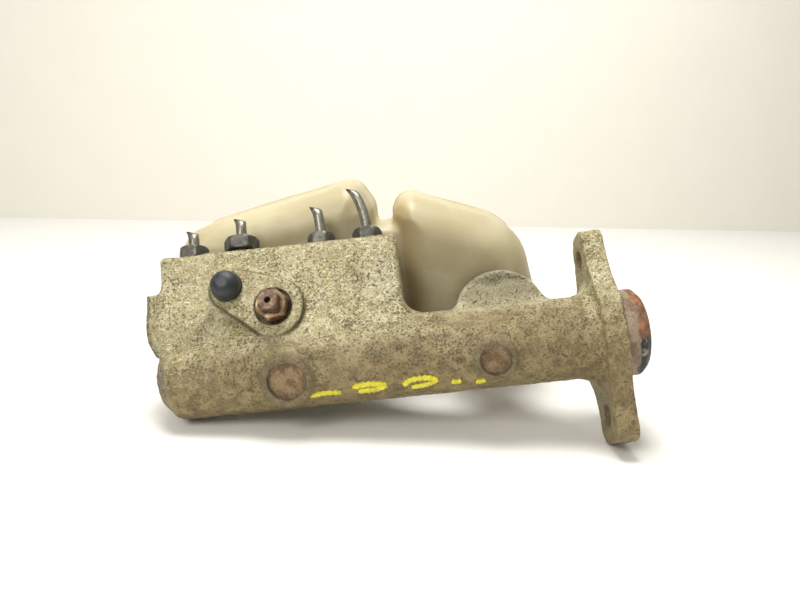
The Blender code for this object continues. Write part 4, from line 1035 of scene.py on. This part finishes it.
def build_pipe(number, material):
    """A cut-off brake pipe: it leans as it was bent, and its end is pinched and cut askew."""
    x, free, lean = PORT_X[number - 1], PIPE_FREE[number - 1], PIPE_LEAN[number - 1]
    nut_top = nut_base(number) + HEX_HEIGHT
    segments, steps, pinch_length, depth = 40, 18, 3.6, 14.0
    outer_rings, inner_rings = [], []
    for step in range(steps + 1):
        share = step / steps
        height = -depth + (free + depth) * share
        bend = lean * max(height, 0) * min(max(height / free, 0), 1)
        pinch = min(max((height - free + pinch_length) / pinch_length, 0), 1) ** 2
        for rings, radius, thinning in (
            (outer_rings, PIPE_RADIUS, 0.60),
            (inner_rings, PIPE_RADIUS - 0.7, 0.80),
        ):
            ring = []
            for k in range(segments):
                angle = 2 * math.pi * k / segments
                wide = radius * (1 + 0.22 * pinch) * math.cos(angle) - 0.45 * pinch
                thin = radius * (1 - thinning * pinch) * math.sin(angle)
                tip = -0.95 * pinch * math.cos(angle)
                ring.append((x + bend + wide, PORT_Y + thin, nut_top + height + tip))
            rings.append(ring)
    vertices, faces = loft(outer_rings + inner_rings[::-1], loop=True)
    name = f"cut_pipe_{number}"
    obj = new_object(name, casting_to_model(vertices), faces, material, "root", 40)
    burn_end(obj, nut_top + free)
    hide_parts(f"pipe_stub_{number}")


def burn_end(obj, tip):
    """Store how near each point is to the pipe's cut end, which is dark."""
    places = np.array([point.co for point in obj.data.vertices]) / MM
    height = places[:, 1] * SIN_TILT + places[:, 2] * COS_TILT
    store(obj, "burnt", unit((height - tip + 0.9) / 0.8))


def build_vent_cap(material):
    """A rubber dome with a rolled lip, slightly dimpled at its crown."""
    base = -BOSS_FACE_Y + 0.1
    profile = [(0.01, base - 6.0), (3.2, base - 6.0), (3.2, base), (6.3, base), (6.6, base + 0.4)]
    profile += [(6.6, base + 1.1), (6.35, base + 1.5), (6.25, base + 2.1)]
    steps = 12
    for share in (step / steps for step in range(steps + 1)):
        angle = math.pi / 2 * share
        dimple = 0.35 * math.exp(-(((1 - share) * 5) ** 2))
        height = base + 2.4 + 5.8 * math.sin(angle) - dimple
        profile.append((max(6.3 * math.cos(angle) ** 0.9, 0.01), height))
    vertices, faces = turned(profile, (VENT_X, 0.0, VENT_Z), (0, -1, 0), 64)
    obj = new_object("dome_cap", casting_to_model(vertices), faces, material, "root")
    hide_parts("vent_cap")


def build_switch(body_material, tip_material):
    """The switch's hexagon with worn corners, and its square terminal with a small hole."""
    base, flats = 15.3, 12.6
    corner = flats / math.sqrt(3)
    top = base + 7.2
    profile = [
        (0.01, 7.0),
        (4.5, 7.0),
        (4.5, base),
        (flats / 2, base),
        (corner, base + 0.9),
        (corner, top - 1.6),
        (corner - 0.4, top - 1.0),
        (flats / 2 - 0.2, top - 0.1),
        (flats / 2 - 0.9, top),
        (0.01, top),
    ]

    def reach(radius, angle):
        return radius if radius < 5 else min(radius, hex_reach(flats, angle + 0.25))

    centre = (SWITCH_X, 0.0, VALVE_Z)
    vertices, faces = turned(profile, centre, (0, -1, 0), 72, reach)
    vertices = casting_to_model(vertices)
    obj = new_object("switch_hexagon", vertices, faces, body_material, "root", 28)
    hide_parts("switch_body")
    half, rounding = 3.95, 0.8
    low, high = top + 0.2, top + 5.0

    def square(radius, angle):
        if radius < 1.5:
            return radius
        turned_angle = angle + 0.12
        side = max(abs(math.cos(turned_angle)), abs(math.sin(turned_angle)))
        return min(radius, half / side, math.hypot(half, half) - rounding)

    rim = half * 1.42
    profile = [(0.01, low), (rim, low), (rim, high - 0.5), (half - 0.1, high), (1.45, high)]
    profile += [(1.25, high - 0.3), (1.2, high - 3.2), (0.01, high - 3.2)]
    vertices, faces = turned(profile, centre, (0, -1, 0), 72, square)
    vertices = casting_to_model(vertices)
    obj = new_object("switch_tip", vertices, faces, tip_material, "root", 28)
    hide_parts("switch_terminal")


def build_cap(material):
    """The filler cap: fine grip ribs round its skirt and a stepped crown."""
    low, high, ribs = TANK_HIGH_Y + 2.6, CAP_TOP_Y, 40
    inner = NECK_RADIUS + 1.2
    profile = [
        (0.01, NECK_TOP_Y + 3.0),
        (inner, NECK_TOP_Y + 3.0),
        (inner, low),
        (CAP_RADIUS - 0.6, low),
        (CAP_RADIUS, low + 0.6),
        (CAP_RADIUS, high - 2.4),
        (CAP_RADIUS - 0.7, high - 0.9),
        (CAP_RADIUS - 2.2, high - 0.1),
        (CAP_RADIUS - 3.4, high),
        (CAP_RADIUS - 4.6, high - 0.2),
        (CAP_RADIUS - 5.4, high - 1.2),
        (10.5, high - 1.3),
        (9.8, high - 0.5),
        (9.0, high - 0.4),
        (0.01, high - 0.4),
    ]

    def reach(radius, angle):
        if radius < CAP_RADIUS - 1.0:
            return radius
        wave = 0.5 + 0.5 * math.cos(ribs * angle)
        return radius - 0.9 * (1 - wave) ** 1.5

    vertices, faces = turned(profile, (NECK_X, 0.0, NECK_Z), (0, 1, 0), 320, reach)
    obj = new_object("filler_cap", vertices, faces, material, "screw_cap", 40)
    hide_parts("reservoir_cap")


def build_paint_marks(material):
    """Loose strokes of yellow marker low on the barrel: dashes, an arc and a loop, not writing."""
    for order, (name, route) in enumerate(STROKES.items()):
        build_stroke(name, route, 1.25 + 0.15 * (order % 2), material, order)


def build_stroke(name, route, half_width, material, seed):
    """A ribbon on the barrel along a smooth curve through a route's points."""
    line = smooth_line([Vector((x, math.radians(turn) * BARREL_RADIUS)) for x, turn in route])
    across = 8
    shares = [2 * k / across - 1 for k in range(across + 1)]
    rings = []
    for index, point in enumerate(line):
        ahead = line[min(index + 1, len(line) - 1)] - line[max(index - 1, 0)]
        side = Vector((-ahead.y, ahead.x)).normalized()
        end = min(index, len(line) - 1 - index) / 3
        wobble = 1 + 0.22 * math.sin(index * 1.7 + seed) + 0.12 * math.sin(index * 4.1 + 2 * seed)
        reach = side * half_width * min(0.35 + 0.65 * math.sqrt(end), 1) * wobble
        above = [on_barrel(point + reach * share, 0.42 * (1 - share**4) + 0.04) for share in shares]
        below = [on_barrel(point + reach * share, -0.4) for share in reversed(shares)]
        rings.append(above + below)
    vertices, faces = loft(rings)
    new_object(name, casting_to_model(vertices), faces, material, "root")


def smooth_line(places, steps=12):
    """Points along a curve that passes through each place."""
    line = []
    for index in range(len(places) - 1):
        a, b = places[index], places[index + 1]
        before, after = places[max(index - 1, 0)], places[min(index + 2, len(places) - 1)]
        tangent_a, tangent_b = (b - before) / 2, (after - a) / 2
        for t in (step / steps for step in range(steps)):
            point = a * (2 * t**3 - 3 * t**2 + 1) + b * (3 * t**2 - 2 * t**3)
            line.append(point + tangent_a * (t**3 - 2 * t**2 + t) + tangent_b * (t**3 - t**2))
    return line + [places[-1]]


def on_barrel(place, lift):
    """A point on the barrel: along the bore, and round it from the side facing -y."""
    angle = place.y / BARREL_RADIUS
    radius = BARREL_RADIUS + lift
    return (place.x, -radius * math.cos(angle), radius * math.sin(angle))


# --- stage ---


def plain_material(name, colour, roughness):
    s = Shader(name)
    shade = tuple(part * 0.985 for part in colour)
    return s.finish(s.mix(s.ramp(s.noise(60, 3), 0.3, 0.7), colour, shade), roughness)


def build_stage():
    """A table top that the casting's lower ear and blind end rest on, and a far plain wall."""
    floor = ((FLOOR_X * MM, 0, FLOOR_Z * MM), (0, math.atan(-FLOOR_SLOPE), 0))
    upright = ((0, WALL_Y, 0), (math.radians(90), 0, WALL_TURN))
    for name, (location, rotation), colour, roughness in (
        ("table", floor, (0.93, 0.925, 0.90), 0.6),
        ("wall", upright, (0.86, 0.83, 0.745), 0.9),
    ):
        bpy.ops.mesh.primitive_plane_add(size=6.0, location=location, rotation=rotation)
        plane = bpy.context.object
        plane.name = name
        plane.data.materials.append(plain_material(name, colour, roughness))


def add_light(name, location, size, power, colour, target=(-0.09, 0.02, 0.0)):
    light = bpy.data.lights.new(name, "AREA")
    light.shape = "RECTANGLE"
    light.size, light.size_y = size
    light.energy = power
    light.color = colour
    obj = bpy.data.objects.new(name, light)
    bpy.context.scene.collection.objects.link(obj)
    obj.location = location
    obj.rotation_euler = (Vector(target) - Vector(location)).to_track_quat("-Z", "Y").to_euler()


def build_lights():
    add_light("overhead", (-0.04, 0.08, 0.80), (0.40, 0.35), 7.0, (1.0, 0.985, 0.95))
    add_light("front_left", (-0.38, -0.62, 0.62), (0.35, 0.35), 3.4, (1.0, 0.98, 0.94))
    # The wash faces the wall from behind the object, so that it lights nothing else.
    add_light("wall_wash", (0.30, 0.38, 0.50), (0.30, 0.20), 0.6, (1.0, 0.99, 0.96), (0.34, 0.72, 0.16))
    world = bpy.data.worlds.new("studio")
    bpy.context.scene.world = world
    world.use_nodes = True
    background = world.node_tree.nodes["Background"]
    background.inputs["Color"].default_value = (0.96, 0.95, 0.91, 1.0)
    background.inputs["Strength"].default_value = 0.42
    bpy.context.scene.view_settings.view_transform = "Standard"


def build_camera():
    """A camera facing the switch's side of the casting, a little above it and rolled slightly."""
    data = bpy.data.cameras.new("camera")
    data.sensor_width = 36.0
    data.lens = CAMERA_LENS
    data.clip_start = 0.01
    camera = bpy.data.objects.new("camera", data)
    bpy.context.scene.collection.objects.link(camera)
    right = Vector(CAMERA_RIGHT).normalized()
    up = right.cross(Vector(CAMERA_AHEAD)).normalized()
    ahead = up.cross(right)
    turn = Matrix((right, up, -ahead)).transposed().to_4x4()
    camera.matrix_world = Matrix.Translation(CAMERA_PLACE) @ turn
    bpy.context.scene.camera = camera


# --- everything together ---


def dress_cad_nodes(wire):
    """Better materials for the CAD solids that are shown as they are."""
    alloy = steel_material("turned_alloy", (0.36, 0.33, 0.27), (0.6, 0.57, 0.5), 3.0, 0.1, 0.34)
    plain = steel_material("plain_steel", (0.2, 0.18, 0.155), (0.42, 0.39, 0.34), 2.5, 0.3, 0.45)
    brass = steel_material("valve_brass", (0.38, 0.25, 0.09), (0.7, 0.52, 0.24), 2.5, 0.0, 0.34, 0.95)
    rubber = rubber_material("seal_rubber", (0.018, 0.018, 0.018), (0.05, 0.05, 0.048), 0.5)
    finishes = {
        "piston_alloy": alloy,
        "spring_steel": wire,
        "plain_steel": plain,
        "valve_brass": brass,
        "seal_rubber": rubber,
    }
    for row in frame["record"]["subparts"]:
        material = finishes.get(row["material_slot"])
        if material:
            mesh = NODES[row["node"]].data
            mesh.materials.clear()
            mesh.materials.append(material)


def build_springs(wire):
    """The four springs, each a copy of its CAD coil in spring wire, riding on its body."""
    for node, joint, body, fixed_end, travel in SPRINGS:
        mesh = NODES[node].data.copy()
        mesh.transform(NODES[node].matrix_world)
        mesh.materials.clear()
        spring = dress(node + "_coil", mesh, wire, body)
        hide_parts(node)
        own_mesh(spring)


def main():
    build_camera()
    build_stage()
    build_lights()
    build_casting(casting_material())
    build_reservoir(tank_material())
    nut = steel_material("dark_nut", (0.075, 0.07, 0.06), (0.15, 0.14, 0.12), 3.5, 0.12, 0.5, 0.6)
    along = (1.0, 1.0, 0.12)
    pipe = steel_material("grey_pipe", (0.17, 0.16, 0.13), (0.36, 0.34, 0.28), 1.3, 0.0, 0.4, 0.8, along)
    for number in range(1, len(PORT_X) + 1):
        build_nut(number, nut)
        build_pipe(number, pipe)
    build_vent_cap(rubber_material("dome_rubber", (0.017, 0.020, 0.023), (0.042, 0.046, 0.050), 0.42))
    dark, light = (0.10, 0.060, 0.032), (0.32, 0.225, 0.12)
    switch = steel_material("tarnished_switch", dark, light, 3.0, 0.3, 0.45, 0.7)
    dark, light = (0.09, 0.055, 0.035), (0.22, 0.14, 0.085)
    tip = steel_material("brown_terminal", dark, light, 2.0, 0.3, 0.5, 0.5)
    build_switch(switch, tip)
    build_cap(rubber_material("cap_plastic", (0.02, 0.02, 0.02), (0.045, 0.044, 0.042), 0.42))
    build_paint_marks(paint_material())
    wire = steel_material("spring_wire", (0.2, 0.19, 0.18), (0.42, 0.41, 0.39), 2.0, 0.15)
    dress_cad_nodes(wire)
    build_springs(wire)
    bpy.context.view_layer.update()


main()
